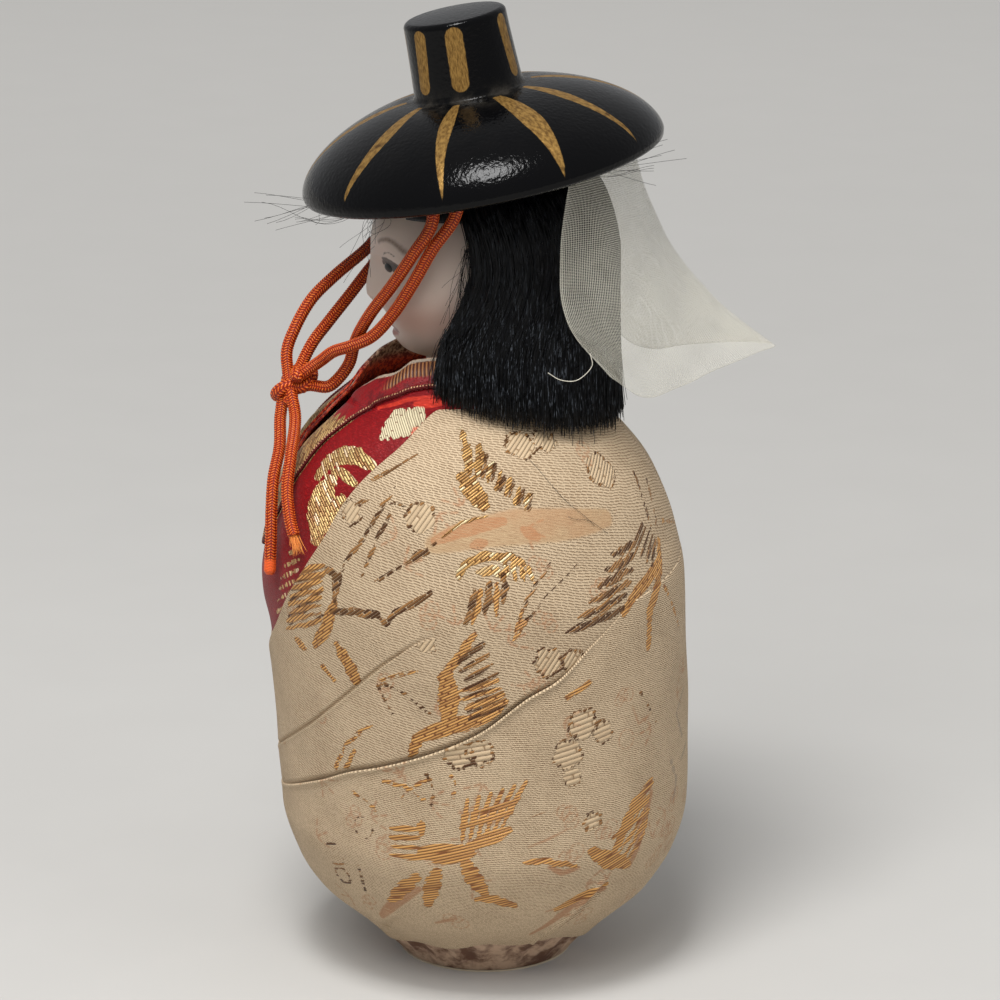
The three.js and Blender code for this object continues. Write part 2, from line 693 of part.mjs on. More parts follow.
const clearProfile = [
  [0, clearHeights[0]],
  ...clearHeights.map((z) => [clearAt(z), z + shoulderClear]),
  [clearAt(clearHeights[clearHeights.length - 1]), collarRoom],
  [0, collarRoom],
];
const shoulders = turned(clearProfile, 36).translate(0, neckY, 0);
const headRoom = headForm(seatGap, false).applyMatrix4(headToWorld);
addPiece(doll, 'hair_bob', cut(hairForm(), belowHair, beforeFace, shoulders, headRoom), 0x0d0c0c, 0.5);

// Hat: a domed brim and a tapered crown, turned hollow underneath
function domeAt(share) {
  const turn = (Math.PI / 2) * share;
  return [
    crownBaseRadius + (rimRadius - crownBaseRadius) * Math.cos(turn) ** (2 / domePowerAcross),
    domeHeight * Math.sin(turn) ** (2 / domePowerUp),
  ];
}
const domeSteps = 9;
const dome = Array.from({ length: domeSteps + 1 }, (unused, i) => domeAt(1 - i / domeSteps));
const domeCurve = stationCurve(dome.map(([r, h]) => [r, h]));
const ceiling = domeHeight - hatWall;
const innerRim = rimRadius - hatWall;
const wallShift = 0.45 * hatWall;
const wallDrop = 0.85 * hatWall;
const insideHeight = (r) => (r <= crownBaseRadius ? ceiling : domeCurve(r + wallShift) - wallDrop);
const rimFillet = 1;
const insideShares = [0, 0.1, 0.25, 0.46, 0.68, 1];
const insideRadii = insideShares.map((share) => lerp(innerRim - rimFillet, crownBaseRadius, share));
const hatProfile = [
  [0, hatHeight],
  [crownTopRadius - crownEdge, hatHeight],
  [crownTopRadius, hatHeight - crownEdge],
  ...dome,
  [rimRadius - rimDrop * 0.2, -rimDrop * 0.7],
  [rimRadius - rimDrop * 0.8, -rimDrop],
  [innerRim, -rimDrop],
  ...insideRadii.map((r) => [r, insideHeight(r)]),
  [0, ceiling],
];
addPiece(hatGroup, 'hat', turned(hatProfile.reverse(), 40), 0x0b0a0a, 0.15);
const hatPoint = (x, y, h) => new THREE.Vector3(x, y, h).applyMatrix4(hatToWorld);
const hairCrown = hairPoint(hairRows, 0).applyMatrix4(hatToWorld.clone().invert());
const padBottom = hairCrown.z + seatGap;
const padTop = ceiling - seatGap;
addPiece(hatGroup, 'hat_pad', disc(padRadius, padBottom, padTop, 28), 0x3a1614, 0.95);

// Knot: one overhand loop pulled tight, twice round its ring while it winds three times through it
const cordRadius = cordDiameter / 2;
const knotCordRadius = knotCordDiameter / 2;
function knotPoint(turn) {
  const reach = knotRing + knotSpread * Math.cos(3 * turn);
  const lift = knotSpread * Math.sin(3 * turn);
  const flat = new THREE.Vector3(reach * Math.cos(2 * turn), reach * Math.sin(2 * turn), lift);
  return flat.applyAxisAngle(new THREE.Vector3(1, 0, 0), degToRad(knotTilt)).add(knotCentre);
}
const knotRoute = Array.from({ length: knotSteps + 1 }, (unused, i) => (
  knotPoint(knotOpening + ((2 * Math.PI - 2 * knotOpening) * i) / knotSteps)
));
const knotSamples = new THREE.CatmullRomCurve3(knotRoute, false, 'centripetal').getSpacedPoints(240);

// Least clear distance between stretches of a cord that lie well apart along it
function leastSelfGap(samples, radius) {
  const pitch = samples[0].distanceTo(samples[1]);
  const apart = Math.ceil((5 * radius) / pitch);
  let least = Infinity;
  for (let i = 0; i < samples.length; i += 1) {
    for (let j = i + apart; j < samples.length; j += 1) {
      least = Math.min(least, samples[i].distanceTo(samples[j]) - 2 * radius);
    }
  }
  return least;
}
console.log(`least gap of the knot to itself ${leastSelfGap(knotSamples, knotCordRadius).toFixed(2)} mm`);
addPiece(doll, 'cord_knot', cordAlong(knotRoute, knotCordRadius, knotSides, knotSteps), 0xbe4619, 0.6);

// Place where a cord that comes from a point butts against the knot
function meetKnot(from) {
  const nearest = knotSamples.reduce((best, p) => (p.distanceTo(from) < best.distanceTo(from) ? p : best));
  const reach = knotCordRadius + 1.5 * seatGap;
  return nearest.clone().add(from.clone().sub(nearest).setLength(reach));
}

// Chin cords: two runs on each side from inside the hat down to the knot
const spot = (x, y, z) => new THREE.Vector3(x, y, z);
const cordRoots = [[20.4, -8.2], [20.6, -3.8]];
const rootSink = seatGap + 0.4 * cordRadius;
const rootAt = (side, [x, y]) => hatPoint(side * x, y, insideHeight(Math.hypot(x, y)) - rootSink);
const cordRoutes = {
  cord_left_front: [
    rootAt(1, cordRoots[0]), spot(19.8, -8.6, 136.4), spot(18, -12.1, 129.9), spot(15, -15.7, 123.9),
    spot(11.5, -19.1, 118.7), spot(8.5, -21.2, 114.6), spot(5.8, -22.4, 111.2), spot(4.6, -23.2, 108),
    spot(4, -25, 105.2), spot(3.2, -27, 103.4),
  ],
  cord_left_back: [
    rootAt(1, cordRoots[1]), spot(20, -4.6, 138), spot(18.9, -8.7, 131.2), spot(17, -12.2, 124.6),
    spot(14.2, -15.6, 118.8), spot(11.8, -19.2, 114.4), spot(9.6, -22.9, 112.2), spot(7, -25.8, 110.6),
    spot(4.4, -28, 108.4),
  ],
  cord_right_front: [
    rootAt(-1, cordRoots[0]), spot(-19.8, -9, 136), spot(-16.6, -14.8, 129.6), spot(-12.2, -20.5, 124.2),
    spot(-8, -26, 120.3), spot(-5, -30, 116.8), spot(-3, -32.8, 112.2), spot(-2, -34.2, 108.4),
  ],
  cord_right_back: [
    rootAt(-1, cordRoots[1]), spot(-20, -4.4, 137.6), spot(-17.2, -12.6, 128), spot(-13, -19.4, 121.2),
    spot(-9.4, -23.4, 116.7), spot(-6.4, -27.2, 112.4), spot(-4, -29.8, 109.4),
  ],
};
const runSteps = 12;
for (const [name, route] of Object.entries(cordRoutes)) {
  const whole = [...route, meetKnot(route[route.length - 1])];
  addPiece(doll, name, cordAlong(whole, cordRadius, cordSides, runSteps), 0xbe4619, 0.6);
}

// Tails hang from the knot and then lie just clear of the breast, at an angle from the front and a height
const tailAt = ([angle, height]) => robePoint(angle, height, tailLift);
const longLay = [[12.8, 92.8], [20, 88.6], [24, 84], [26, 80], [27.4, 73.8]];
const shortLay = [[25, 92.8], [30.5, 88.4], [35, 84.3], [37.8, 82]];
const tails = {
  cord_tail_long: [spot(2.2, -35.2, 98.4), ...longLay.map(tailAt)],
  cord_tail_short: [spot(5, -32.6, 98.6), ...shortLay.map(tailAt)],
};
const tailSteps = 9;
for (const [name, route] of Object.entries(tails)) {
  const whole = [meetKnot(route[0]), ...route];
  addPiece(doll, name, cordAlong(whole, cordRadius, cordSides, tailSteps), 0xbe4619, 0.6);
}

// Veil: guide lines from the hat's underside to the hem, side edge first, back ridge last
const veilTop = ([x, y]) => hatPoint(x, y, insideHeight(Math.hypot(x, y)) - veilTopGap);
const veilGuides = veilTops.map((top, i) => [veilTop(top), ...veilDrops[i].map((drop) => spot(...drop))]);
const mirrored = (p) => new THREE.Vector3(-p.x, p.y, p.z);
const guideCurves = [
  ...veilGuides.map((guide) => new THREE.CatmullRomCurve3(guide)),
  ...veilGuides.slice(0, -1).reverse().map((guide) => new THREE.CatmullRomCurve3(guide.map(mirrored))),
];
function veilPoint(across, down) {
  const rail = new THREE.CatmullRomCurve3(guideCurves.map((curve) => curve.getPoint(down)));
  const p = rail.getPoint(across);
  const along = rail.getTangent(across);
  const out = new THREE.Vector3(-along.y, along.x, 0).normalize();
  const ripple = Math.sin(2 * Math.PI * veilFolds * across) * Math.sin(Math.PI * across);
  return p.addScaledVector(out, -veilFoldDepth * down * ripple);
}
const veilRows = 8;
const veilColumns = 26;
const veilSide = (shift) => (j, i) => {
  const p = veilPoint(i / veilColumns, j / veilRows);
  const right = veilPoint(Math.min(1, i / veilColumns + 0.01), j / veilRows);
  const left = veilPoint(Math.max(0, i / veilColumns - 0.01), j / veilRows);
  const below = veilPoint(i / veilColumns, Math.min(1, j / veilRows + 0.01));
  const above = veilPoint(i / veilColumns, Math.max(0, j / veilRows - 0.01));
  const normal = right.sub(left).cross(below.sub(above)).normalize();
  return p.addScaledVector(normal, shift);
};
const veilFace = veilThickness / 2;
const veilSolid = sheetSolid(veilRows, veilColumns, false, veilSide(veilFace), veilSide(-veilFace));
addPiece(doll, 'veil', veilSolid, 0xd8d6c8, 0.8);

export default doll;
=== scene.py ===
from functools import partial
from types import SimpleNamespace

import bpy
import numpy as np
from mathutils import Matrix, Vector


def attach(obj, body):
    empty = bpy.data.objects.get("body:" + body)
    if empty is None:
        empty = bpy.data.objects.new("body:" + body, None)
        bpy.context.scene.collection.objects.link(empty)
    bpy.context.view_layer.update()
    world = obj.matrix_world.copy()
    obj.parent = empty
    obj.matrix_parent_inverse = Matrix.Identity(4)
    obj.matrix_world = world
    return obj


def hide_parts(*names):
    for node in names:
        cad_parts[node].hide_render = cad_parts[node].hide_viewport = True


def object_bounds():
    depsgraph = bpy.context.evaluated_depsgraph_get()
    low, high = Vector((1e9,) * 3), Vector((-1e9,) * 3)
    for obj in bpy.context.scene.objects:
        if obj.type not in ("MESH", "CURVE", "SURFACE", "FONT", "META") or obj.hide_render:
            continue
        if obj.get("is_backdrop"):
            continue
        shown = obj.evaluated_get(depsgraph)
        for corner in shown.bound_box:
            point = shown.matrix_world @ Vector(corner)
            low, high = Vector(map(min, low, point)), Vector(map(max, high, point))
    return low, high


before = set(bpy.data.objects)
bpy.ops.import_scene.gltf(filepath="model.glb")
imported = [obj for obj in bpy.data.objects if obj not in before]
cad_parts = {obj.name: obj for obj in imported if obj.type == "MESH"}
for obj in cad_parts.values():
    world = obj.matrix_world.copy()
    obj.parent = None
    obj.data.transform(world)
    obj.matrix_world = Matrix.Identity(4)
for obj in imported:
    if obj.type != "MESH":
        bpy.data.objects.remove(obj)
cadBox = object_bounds()
print("frame:", len(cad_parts), "nodes")

# All shapes are worked out in millimetres, +Z up, the doll facing -Y with its left side at +X
metre = 0.001


# smooth rise from 0 at low to 1 at high
def ease(value, low, high):
    t = np.clip((value - low) / (high - low), 0, 1)
    return t * t * (3 - 2 * t)


# vectors divided by their own length
def unit(vectors):
    return vectors / np.maximum(np.linalg.norm(vectors, axis=-1, keepdims=True), 1e-9)


# coordinates of matching shapes put together as points
def together(*parts):
    return np.stack(np.broadcast_arrays(*parts), -1)


# even shares from 0 to 1
def shares(count):
    return np.linspace(0, 1, count)


# monotone cubic through (position, value) stations, level past its ends
def stationCurve(stations):
    x, y = np.array(stations, float).T
    grade = np.diff(y) / np.diff(x)
    product = grade[:-1] * grade[1:]
    inner = np.where(product > 0, 2 * product / (grade[:-1] + grade[1:] + 1e-12), 0)
    slope = np.concatenate([grade[:1], inner, grade[-1:]])

    def curve(position):
        at = np.clip(position, x[0], x[-1])
        i = np.clip(np.searchsorted(x, at) - 1, 0, len(x) - 2)
        span = x[i + 1] - x[i]
        t = (at - x[i]) / span
        rise = t * t * (3 - 2 * t)
        pull = slope[i] * t * (1 - t) ** 2 * span + slope[i + 1] * t * t * (t - 1) * span
        return y[i] * (1 - rise) + y[i + 1] * rise + pull

    return curve


# curve through control points: cubic pieces whose knots are spaced by the root of their distances
def throughPoints(points, share):
    points = np.asarray(points, float)
    points = np.concatenate([[2 * points[0] - points[1]], points, [2 * points[-1] - points[-2]]])
    last = len(points) - 4
    place = np.asarray(share, float) * (last + 1)
    i = np.clip(place.astype(int), 0, last)
    t = (place - i).reshape((-1,) + (1,) * (points.ndim - 1))
    p0, p1, p2, p3 = (points[i + k] for k in range(4))
    gap = lambda a, b: np.maximum(np.linalg.norm(b - a, axis=-1, keepdims=True) ** 0.5, 1e-4)
    d0, d1, d2 = gap(p0, p1), gap(p1, p2), gap(p2, p3)
    leave = ((p1 - p0) / d0 - (p2 - p0) / (d0 + d1) + (p2 - p1) / d1) * d1
    arrive = ((p2 - p1) / d1 - (p3 - p1) / (d1 + d2) + (p3 - p2) / d2) * d1
    bend = -3 * p1 + 3 * p2 - 2 * leave - arrive
    close = 2 * p1 - 2 * p2 + leave + arrive
    return p1 + leave * t + bend * t**2 + close * t**3


# length along a chain of points, from 0 at the first
def lengthAlong(points):
    return np.concatenate([[0], np.cumsum(np.linalg.norm(np.diff(points, axis=0), axis=1))])


# points turned about X by a piece's tilt, then moved to its centre
def tilted(points, piece):
    x, y, z = np.moveaxis(np.asarray(points, float), -1, 0)
    cosine, sine = np.cos(piece["tilt"]), np.sin(piece["tilt"])
    return together(x, y * cosine - z * sine, y * sine + z * cosine) + piece["centre"]


# angles all the way round, the first not repeated
def fullTurn(count):
    return np.linspace(0, 2 * np.pi, count, endpoint=False)


# the same curve at even spacing along its length
def evenPath(points, spacing):
    fine = throughPoints(points, shares(60 * len(points)))
    along = lengthAlong(fine)
    want = np.linspace(0, along[-1], max(8, int(along[-1] / spacing)))
    return np.stack([np.interp(want, along, fine[:, k]) for k in range(3)], -1), along[-1]


# mesh of a rows by columns grid of points, joined round where asked, with open ends filled by one face each
def gridMesh(name, grid, body, material, roundRows=False, roundColumns=False, maps=None, fields=None,
             slot=None):
    rows, columns = grid.shape[:2]
    down, across = rows - (not roundRows), columns - (not roundColumns)
    j, i = np.meshgrid(np.arange(down), np.arange(across), indexing="ij")
    corners = [(j, i), (j, i + 1), (j + 1, i + 1), (j + 1, i)]
    quadRow = np.stack([a for a, b in corners], -1).reshape(-1, 4)
    quadColumn = np.stack([b for a, b in corners], -1).reshape(-1, 4)
    loopRow, loopColumn, sizes = [quadRow.ravel()], [quadColumn.ravel()], [np.full(len(quadRow), 4)]
    if roundColumns and not roundRows:
        for row, order in ((0, -1), (rows - 1, 1)):
            loopRow.append(np.full(columns, row))
            loopColumn.append(np.arange(columns)[::order])
            sizes.append([columns])
    if roundRows and not roundColumns:
        for column, order in ((0, 1), (columns - 1, -1)):
            loopRow.append(np.arange(rows)[::order])
            loopColumn.append(np.full(rows, column))
            sizes.append([rows])
    loopRow, loopColumn = np.concatenate(loopRow), np.concatenate(loopColumn)
    sizes = np.concatenate(sizes).astype(int)
    starts = np.concatenate([[0], np.cumsum(sizes)[:-1]])
    points = grid.reshape(-1, 3)
    centred = points - points.mean(0)
    loops = (loopRow % rows) * columns + loopColumn % columns
    a, b, c, d = (centred[loops[: 4 * len(quadRow)].reshape(-1, 4)[:, k]] for k in range(4))
    volume = np.sum(a * np.cross(b, c)) + np.sum(a * np.cross(c, d))
    if volume < 0:  # turn every face the other way round
        last = np.repeat(starts + sizes - 1, sizes)
        first = np.repeat(starts, sizes)
        order = last - (np.arange(len(loops)) - first)
        loops, loopRow, loopColumn = loops[order], loopRow[order], loopColumn[order]
    return fillMesh(name, points, loops, starts, body, material, slot, maps, (loopRow, loopColumn), fields)


# puts points, face loops, UV maps and point values into a new object that rides on a body
def fillMesh(name, points, loops, starts, body, material, slot=None, maps=None, loopPlaces=None, fields=None):
    mesh = bpy.data.meshes.new(name)
    mesh.vertices.add(len(points))
    mesh.vertices.foreach_set("co", (points * metre).astype(np.float32).ravel())
    mesh.loops.add(len(loops))
    mesh.loops.foreach_set("vertex_index", loops.astype(np.int32))
    mesh.polygons.add(len(starts))
    mesh.polygons.foreach_set("loop_start", starts.astype(np.int32))
    mesh.polygons.foreach_set("use_smooth", np.ones(len(starts), bool))
    for mapName, places in (maps or {}).items():
        layer = mesh.uv_layers.new(name=mapName)
        layer.data.foreach_set("uv", places[loopPlaces].astype(np.float32).ravel())
    for fieldName, values in (fields or {}).items():
        attribute = mesh.attributes.new(fieldName, "FLOAT", "POINT")
        attribute.data.foreach_set("value", values.astype(np.float32).ravel())
    mesh.update(calc_edges=True)
    mesh.validate()
    mesh.materials.append(material)
    piece = bpy.data.objects.new(name, mesh)
    bpy.context.scene.collection.objects.link(piece)
    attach(piece, body)
    return piece


# many thin strands at once: three-sided tubes along paths[strand, step], with a radius for each step
def strandMesh(name, paths, radius, body, material, slot=None):
    count, steps = paths.shape[:2]
    along = unit(np.gradient(paths, axis=1))
    lean = np.where(np.abs(along[..., 2:3]) > 0.9, np.array([1.0, 0.3, 0]), np.array([0, 0.2, 1.0]))
    side = unit(np.cross(along, lean))
    other = np.cross(along, side)
    turn = np.arange(3) * 2 * np.pi / 3
    ring = side[:, :, None] * np.cos(turn)[:, None] + other[:, :, None] * np.sin(turn)[:, None]
    points = (paths[:, :, None] + radius[:, :, None, None] * ring).reshape(-1, 3)
    s, j, k = np.meshgrid(np.arange(count), np.arange(steps - 1), np.arange(3), indexing="ij")
    spot = lambda row, corner: (s * steps + row) * 3 + corner % 3
    quads = np.stack([spot(j, k), spot(j, k + 1), spot(j + 1, k + 1), spot(j + 1, k)], -1).reshape(-1, 4)
    base = np.arange(count)[:, None] * steps * 3
    roots = base + np.array([2, 1, 0])
    tips = base + (steps - 1) * 3 + np.array([0, 1, 2])
    loops = np.concatenate([quads.ravel(), roots.ravel(), tips.ravel()])
    sizes = np.concatenate([np.full(len(quads), 4), np.full(2 * count, 3)])
    starts = np.concatenate([[0], np.cumsum(sizes)[:-1]])
    return fillMesh(name, points, loops, starts, body, material, slot)


# small tools for one node material; values may be numbers, 0-255 colours or other nodes' outputs
def startMaterial(name):
    material = bpy.data.materials.new(name)
    material.use_nodes = True
    tree = material.node_tree
    surface = tree.nodes["Principled BSDF"]

    def fill(node, inputs):
        for key, value in inputs.items():
            if isinstance(value, bpy.types.NodeSocket):
                tree.links.new(value, node.inputs[key])
            else:
                socket = node.inputs[key]
                socket.default_value = colour(*value) if socket.type == "RGBA" else value

    def node(kind, inputs=None, **settings):
        made = tree.nodes.new(kind)
        for key, value in settings.items():
            setattr(made, key, value)
        fill(made, inputs or {})
        return made

    def maths(operation, *values):
        return node("ShaderNodeMath", dict(enumerate(values)), operation=operation).outputs[0]

    # the usual sums, each one maths node
    times, plus, minus, most, absolute, fraction = (
        partial(maths, operation)
        for operation in ("MULTIPLY", "ADD", "SUBTRACT", "MAXIMUM", "ABSOLUTE", "FRACT"))

    def mix(share, first, second):
        inputs = {0: share, 6: first, 7: second}
        return node("ShaderNodeMix", inputs, data_type="RGBA").outputs[2]

    def blend(share, first, second):
        return node("ShaderNodeMix", {0: share, 2: first, 3: second}).outputs[0]

    def step(value, low, high, start=0.0, end=1.0):
        inputs = {0: value, 1: low, 2: high, 3: start, 4: end}
        return node("ShaderNodeMapRange", inputs, interpolation_type="SMOOTHSTEP").outputs[0]

    def field(fieldName):
        return node("ShaderNodeAttribute", attribute_name=fieldName).outputs["Fac"]

    def uv(mapName):
        return node("ShaderNodeUVMap", uv_map=mapName).outputs[0]

    def place():
        return node("ShaderNodeTexCoord").outputs["Object"]

    def noise(vector, scale, detail=2.0, roughness=0.5):
        inputs = {"Vector": vector, "Scale": scale, "Detail": detail, "Roughness": roughness}
        return node("ShaderNodeTexNoise", inputs).outputs[0]

    # rows of a pitch across a map: the place along, each row's number, the place across it and a tone for it
    def rowsAcross(vector, pitch):
        u, v = split(vector)[:2]
        row = maths("DIVIDE", v, pitch)
        index = maths("FLOOR", row)
        rowTone = node("ShaderNodeTexWhiteNoise", {"W": index}, noise_dimensions="1D").outputs[0]
        return u, index, fraction(row), rowTone

    # a tone for each whole step along each row
    def stepTone(run, index):
        spot = node("ShaderNodeCombineXYZ", {0: maths("FLOOR", run), 1: index}).outputs[0]
        return node("ShaderNodeTexWhiteNoise", {"Vector": spot}, noise_dimensions="2D").outputs[0]

    # rows of stitches: a height rounded across the row and along the stitch, a tone for each stitch and one
    # for each row
    def threadRows(vector, pitch, length, slant=0.0, stagger=0.37):
        u, index, part, rowTone = rowsAcross(vector, pitch)
        shift = plus(times(index, stagger), times(rowTone, 0.35))
        run = plus(plus(maths("DIVIDE", u, length), shift), times(part, slant))
        across = maths("POWER", maths("SINE", times(part, np.pi)), 0.7)
        middle = absolute(minus(times(fraction(run), 2.0), 1.0))
        ends = minus(1.0, maths("POWER", middle, 12.0))
        return times(across, ends), stepTone(run, index), rowTone

    # broken rows of slanting ticks, each row set on from the last, and a tone for each tick
    def tickRows(vector, pitch, length, slope, stagger):
        u, index, part, rowTone = rowsAcross(vector, pitch)
        run = plus(maths("DIVIDE", u, length), plus(times(index, stagger), times(rowTone, 0.8)))
        middle = minus(fraction(run), 0.5)
        away = minus(minus(part, 0.5), times(middle, slope))
        wide, long = step(absolute(away), 0.3, 0.06), step(absolute(middle), 0.5, 0.36)
        return times(wide, long), stepTone(run, index)

    def stretch(vector, scale, turn=(0, 0, 0)):
        inputs = {"Vector": vector, "Scale": scale, "Rotation": turn}
        return node("ShaderNodeMapping", inputs).outputs[0]

    def split(vector):
        return node("ShaderNodeSeparateXYZ", {0: vector}).outputs

    def bump(height, strength, distance):
        inputs = {"Height": height, "Strength": strength, "Distance": distance}
        return node("ShaderNodeBump", inputs).outputs[0]

    def finish(**sockets):
        fill(surface, {key.replace("_", " "): value for key, value in sockets.items()})
        return material

    return SimpleNamespace(**locals())


# colour written as 0-255 values, turned linear
def colour(red, green, blue):
    value = np.array([red, green, blue]) / 255
    linear = np.where(value <= 0.04045, value / 12.92, ((value + 0.055) / 1.055) ** 2.4)
    return (*linear.tolist(), 1.0)


# Camera, floor and light
view = {"azimuth": 90, "elevation": 16.5, "target": (0, 0.0026, 0.0821), "distance": 0.763589, "angle": 13}


# camera on a ball round the target, looking at it; the lens follows from the field of view
def placeCamera():
    azimuth, elevation = np.radians(view["azimuth"]), np.radians(view["elevation"])
    level = np.cos(elevation)
    back = Vector((np.sin(azimuth) * level, -np.cos(azimuth) * level, np.sin(elevation)))
    data = bpy.data.cameras.new("camera")
    data.sensor_width = 36
    data.lens = 18 / np.tan(np.radians(view["angle"] / 2))
    data.clip_start = 0.01
    camera = bpy.data.objects.new("camera", data)
    camera.location = Vector(view["target"]) + back * view["distance"]
    camera.rotation_euler = (-back).to_track_quat("-Z", "Y").to_euler()
    bpy.context.scene.collection.objects.link(camera)
    bpy.context.scene.camera = camera


light = {
    "world": 0.36,
    "sky": (0.97, 0.98, 1.0, 1),
    "floorReach": 20.0,
    "lamps": [  # place, aim, size, watts, shown in reflections
        ((0.26, -0.10, 0.80), (0, 0, 0.10), 0.24, 4.4, True),
        ((0.62, -0.22, 0.85), (0, 0, 0.08), 0.60, 5.4, False),
        ((0.50, 0.80, 0.50), (0, 0, 0.09), 0.60, 1.6, False),
    ],
    "floor": (192, 190, 186),
    "farGlow": 0.42,  # the floor seen far off keeps the tone it has close by
}


# even sky, soft lamps aimed at the doll, and a paper floor that glows far off
def placeLight():
    world = bpy.data.worlds.new("studio")
    world.use_nodes = True
    background = world.node_tree.nodes["Background"]
    background.inputs["Color"].default_value = light["sky"]
    background.inputs["Strength"].default_value = light["world"]
    bpy.context.scene.world = world
    for number, (place, aim, size, watts, mirrored) in enumerate(light["lamps"]):
        data = bpy.data.lights.new(f"softbox{number}", "AREA")
        data.size = size
        data.energy = watts
        lamp = bpy.data.objects.new(f"softbox{number}", data)
        lamp.location = place
        lamp.visible_glossy = mirrored
        lamp.rotation_euler = (Vector(aim) - Vector(place)).to_track_quat("-Z", "Y").to_euler()
        bpy.context.scene.collection.objects.link(lamp)
    mesh = bpy.data.meshes.new("floor")
    reach = light["floorReach"]
    corners = [(-reach, -reach, 0), (reach, -reach, 0), (reach, reach, 0), (-reach, reach, 0)]
    mesh.from_pydata(corners, [], [(0, 1, 2, 3)])
    paint = startMaterial("floorPaper")
    grain = paint.noise(paint.place(), 40.0, 3.0)
    shade = paint.mix(grain, [v - 4 for v in light["floor"]], light["floor"])
    path = paint.node("ShaderNodeLightPath").outputs
    seen = paint.most(path["Is Camera Ray"], path["Is Glossy Ray"])
    distance = paint.node("ShaderNodeVectorMath", {0: paint.place()}, operation="LENGTH").outputs["Value"]
    glow = paint.times(seen, paint.step(distance, -0.15, 0.95, 0.0, light["farGlow"]))
    paper = paint.finish(Base_Color=shade, Roughness=0.9, Emission_Color=light["floor"],
                         Emission_Strength=glow)
    mesh.materials.append(paper)
    floor = bpy.data.objects.new("floor", mesh)
    bpy.context.scene.collection.objects.link(floor)
    floor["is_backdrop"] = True
    bpy.context.scene.view_settings.view_transform = "Standard"


placeCamera()
placeLight()
print("camera and light placed")


# Dressed body: radius and lean of the outer cloth at each height, and the cloth edges
robe = {
    "profile": [(0, 16.2), (5, 20.3), (9, 24.4), (14, 29.8), (20, 33.5), (28, 35.8), (40, 36.2), (55, 36.6),
                (70, 37.1), (80, 35.5), (88, 33.1), (95, 28.8), (101, 22.6), (107, 16.2), (112, 10.9)],
    "lean": [(0, 0), (30, -0.1), (70, -2.3), (112, -6)],
    "outerEdge": [(0, 54), (12, 59), (23, 64.2), (34, 72.1), (42, 78.7), (47, 83), (52, 88.6), (58, 93.3),
                  (66, 97.3), (83, 103.6), (120, 104.8), (180, 105.2)],
    "redEdge": [(0, 74), (15, 80), (22, 85), (25.5, 89.5), (28.5, 93), (31.5, 97), (34.5, 99), (39, 101),
                (49, 103.5), (61, 105.3), (69, 106.4), (80, 107), (180, 106.8)],
    "middleEdge": [(0, 85.3), (9, 88), (13, 94.4), (15.5, 100), (18, 102.5), (21, 104.1), (31, 106),
                   (40, 107.5), (52, 108.6), (65, 110.9), (90, 111.7), (120, 108.8), (180, 108.6)],
    "upperFold": [(0, 37), (11, 39.6), (35, 47.6), (46, 52.6), (55, 57.2), (61, 60.4), (68, 64), (79, 68.5),
                  (180, 80)],
    "skirtFold": [(0, 30.5), (11, 32.1), (40, 38.7), (52, 42.1), (62, 44.2), (77, 47.8), (90, 51.7),
                  (104, 57.8), (112, 60.2), (125, 66.5), (140, 71.5), (180, 74)],
    "thickness": 0.5,
    "layerStep": 0.9,
    "collarFoot": 103,  # collars stand more upright than the shoulders above this height
    "collarSlope": 0.5,
}
# the inner collar stands a little above the middle one, more so at the front
robe["innerEdge"] = [(angle, height + (0.7 if angle < 18 else 0.6)) for angle, height in robe["middleEdge"]]
robeLean = stationCurve(robe["lean"])
edgeCurve = {key: stationCurve(robe[key]) for key in
             ("outerEdge", "redEdge", "middleEdge", "innerEdge", "upperFold", "skirtFold")}


# height of a cloth edge at an angle, the same on both sides
def edge(key, angle):
    return edgeCurve[key](np.abs(angle))


# mould that cloth is laid on: its radius, its slope and the length along its profile at each height
def makeMould(radiusAt):
    heights = np.linspace(0, 114, 1141)
    radii = radiusAt(heights)
    grades = np.gradient(radii, heights)
    lengths = np.concatenate([[0], np.cumsum(np.hypot(np.diff(heights), np.diff(radii)))])
    at = lambda values: lambda height: np.interp(height, heights, values)
    return SimpleNamespace(radius=at(radii), grade=at(grades), length=at(lengths))


bodyMould = makeMould(stationCurve(robe["profile"]))
collarFoot = robe["collarFoot"]
standing = lambda height: bodyMould.radius(collarFoot) - robe["collarSlope"] * (height - collarFoot)
neckMould = makeMould(
    lambda height: np.where(height > collarFoot, np.maximum(standing(height), bodyMould.radius(height)),
                            bodyMould.radius(height)))


# point on a mould: an angle from the front, a height and a distance out along the cloth's normal
def robePoint(angle, height, offset, mould=bodyMould):
    grade = mould.grade(height)
    stretch = np.hypot(1, grade)
    radius = mould.radius(height) + offset / stretch
    turn = np.radians(angle)
    y = robeLean(height) - radius * np.cos(turn)
    return together(radius * np.sin(turn), y, height - offset * grade / stretch)


# Chin cords: three lengths of braid tied together in front of the breast
cord = {
    "diameter": 2.0,
    "pitch": 0.48,  # length of one stitch of the braid
    "relief": 0.13,
    "columns": 8,  # columns of stitches round the braid
    "sides": 32,
    "spacing": 0.1,
    "colour": (190, 56, 10),
    # groove is painted shade for the braid's grooves and the gaps between stitches; the bright colour after
    # it is a painted highlight on the crests
    "groove": (122, 30, 8),
    "shine": (240, 146, 58),
    "longTail": [(12.8, 92.8), (20, 88.6), (24, 84), (26, 80), (27.4, 73.8)],
    "shortTail": [(25, 92.8), (30.5, 88.4), (35, 84.3), (37.8, 82)],
    "tailLift": 1.7,
    "fray": {"fibres": 70, "steps": 8, "shortest": 1.6, "longest": 4.4, "radius": 0.07, "spread": 0.34},
}
hatFrame = {"centre": np.array([0, -0.3, 142.3]), "tilt": np.radians(10.95)}


# hat frame to doll frame
def hatPlace(points):
    return tilted(points, hatFrame)


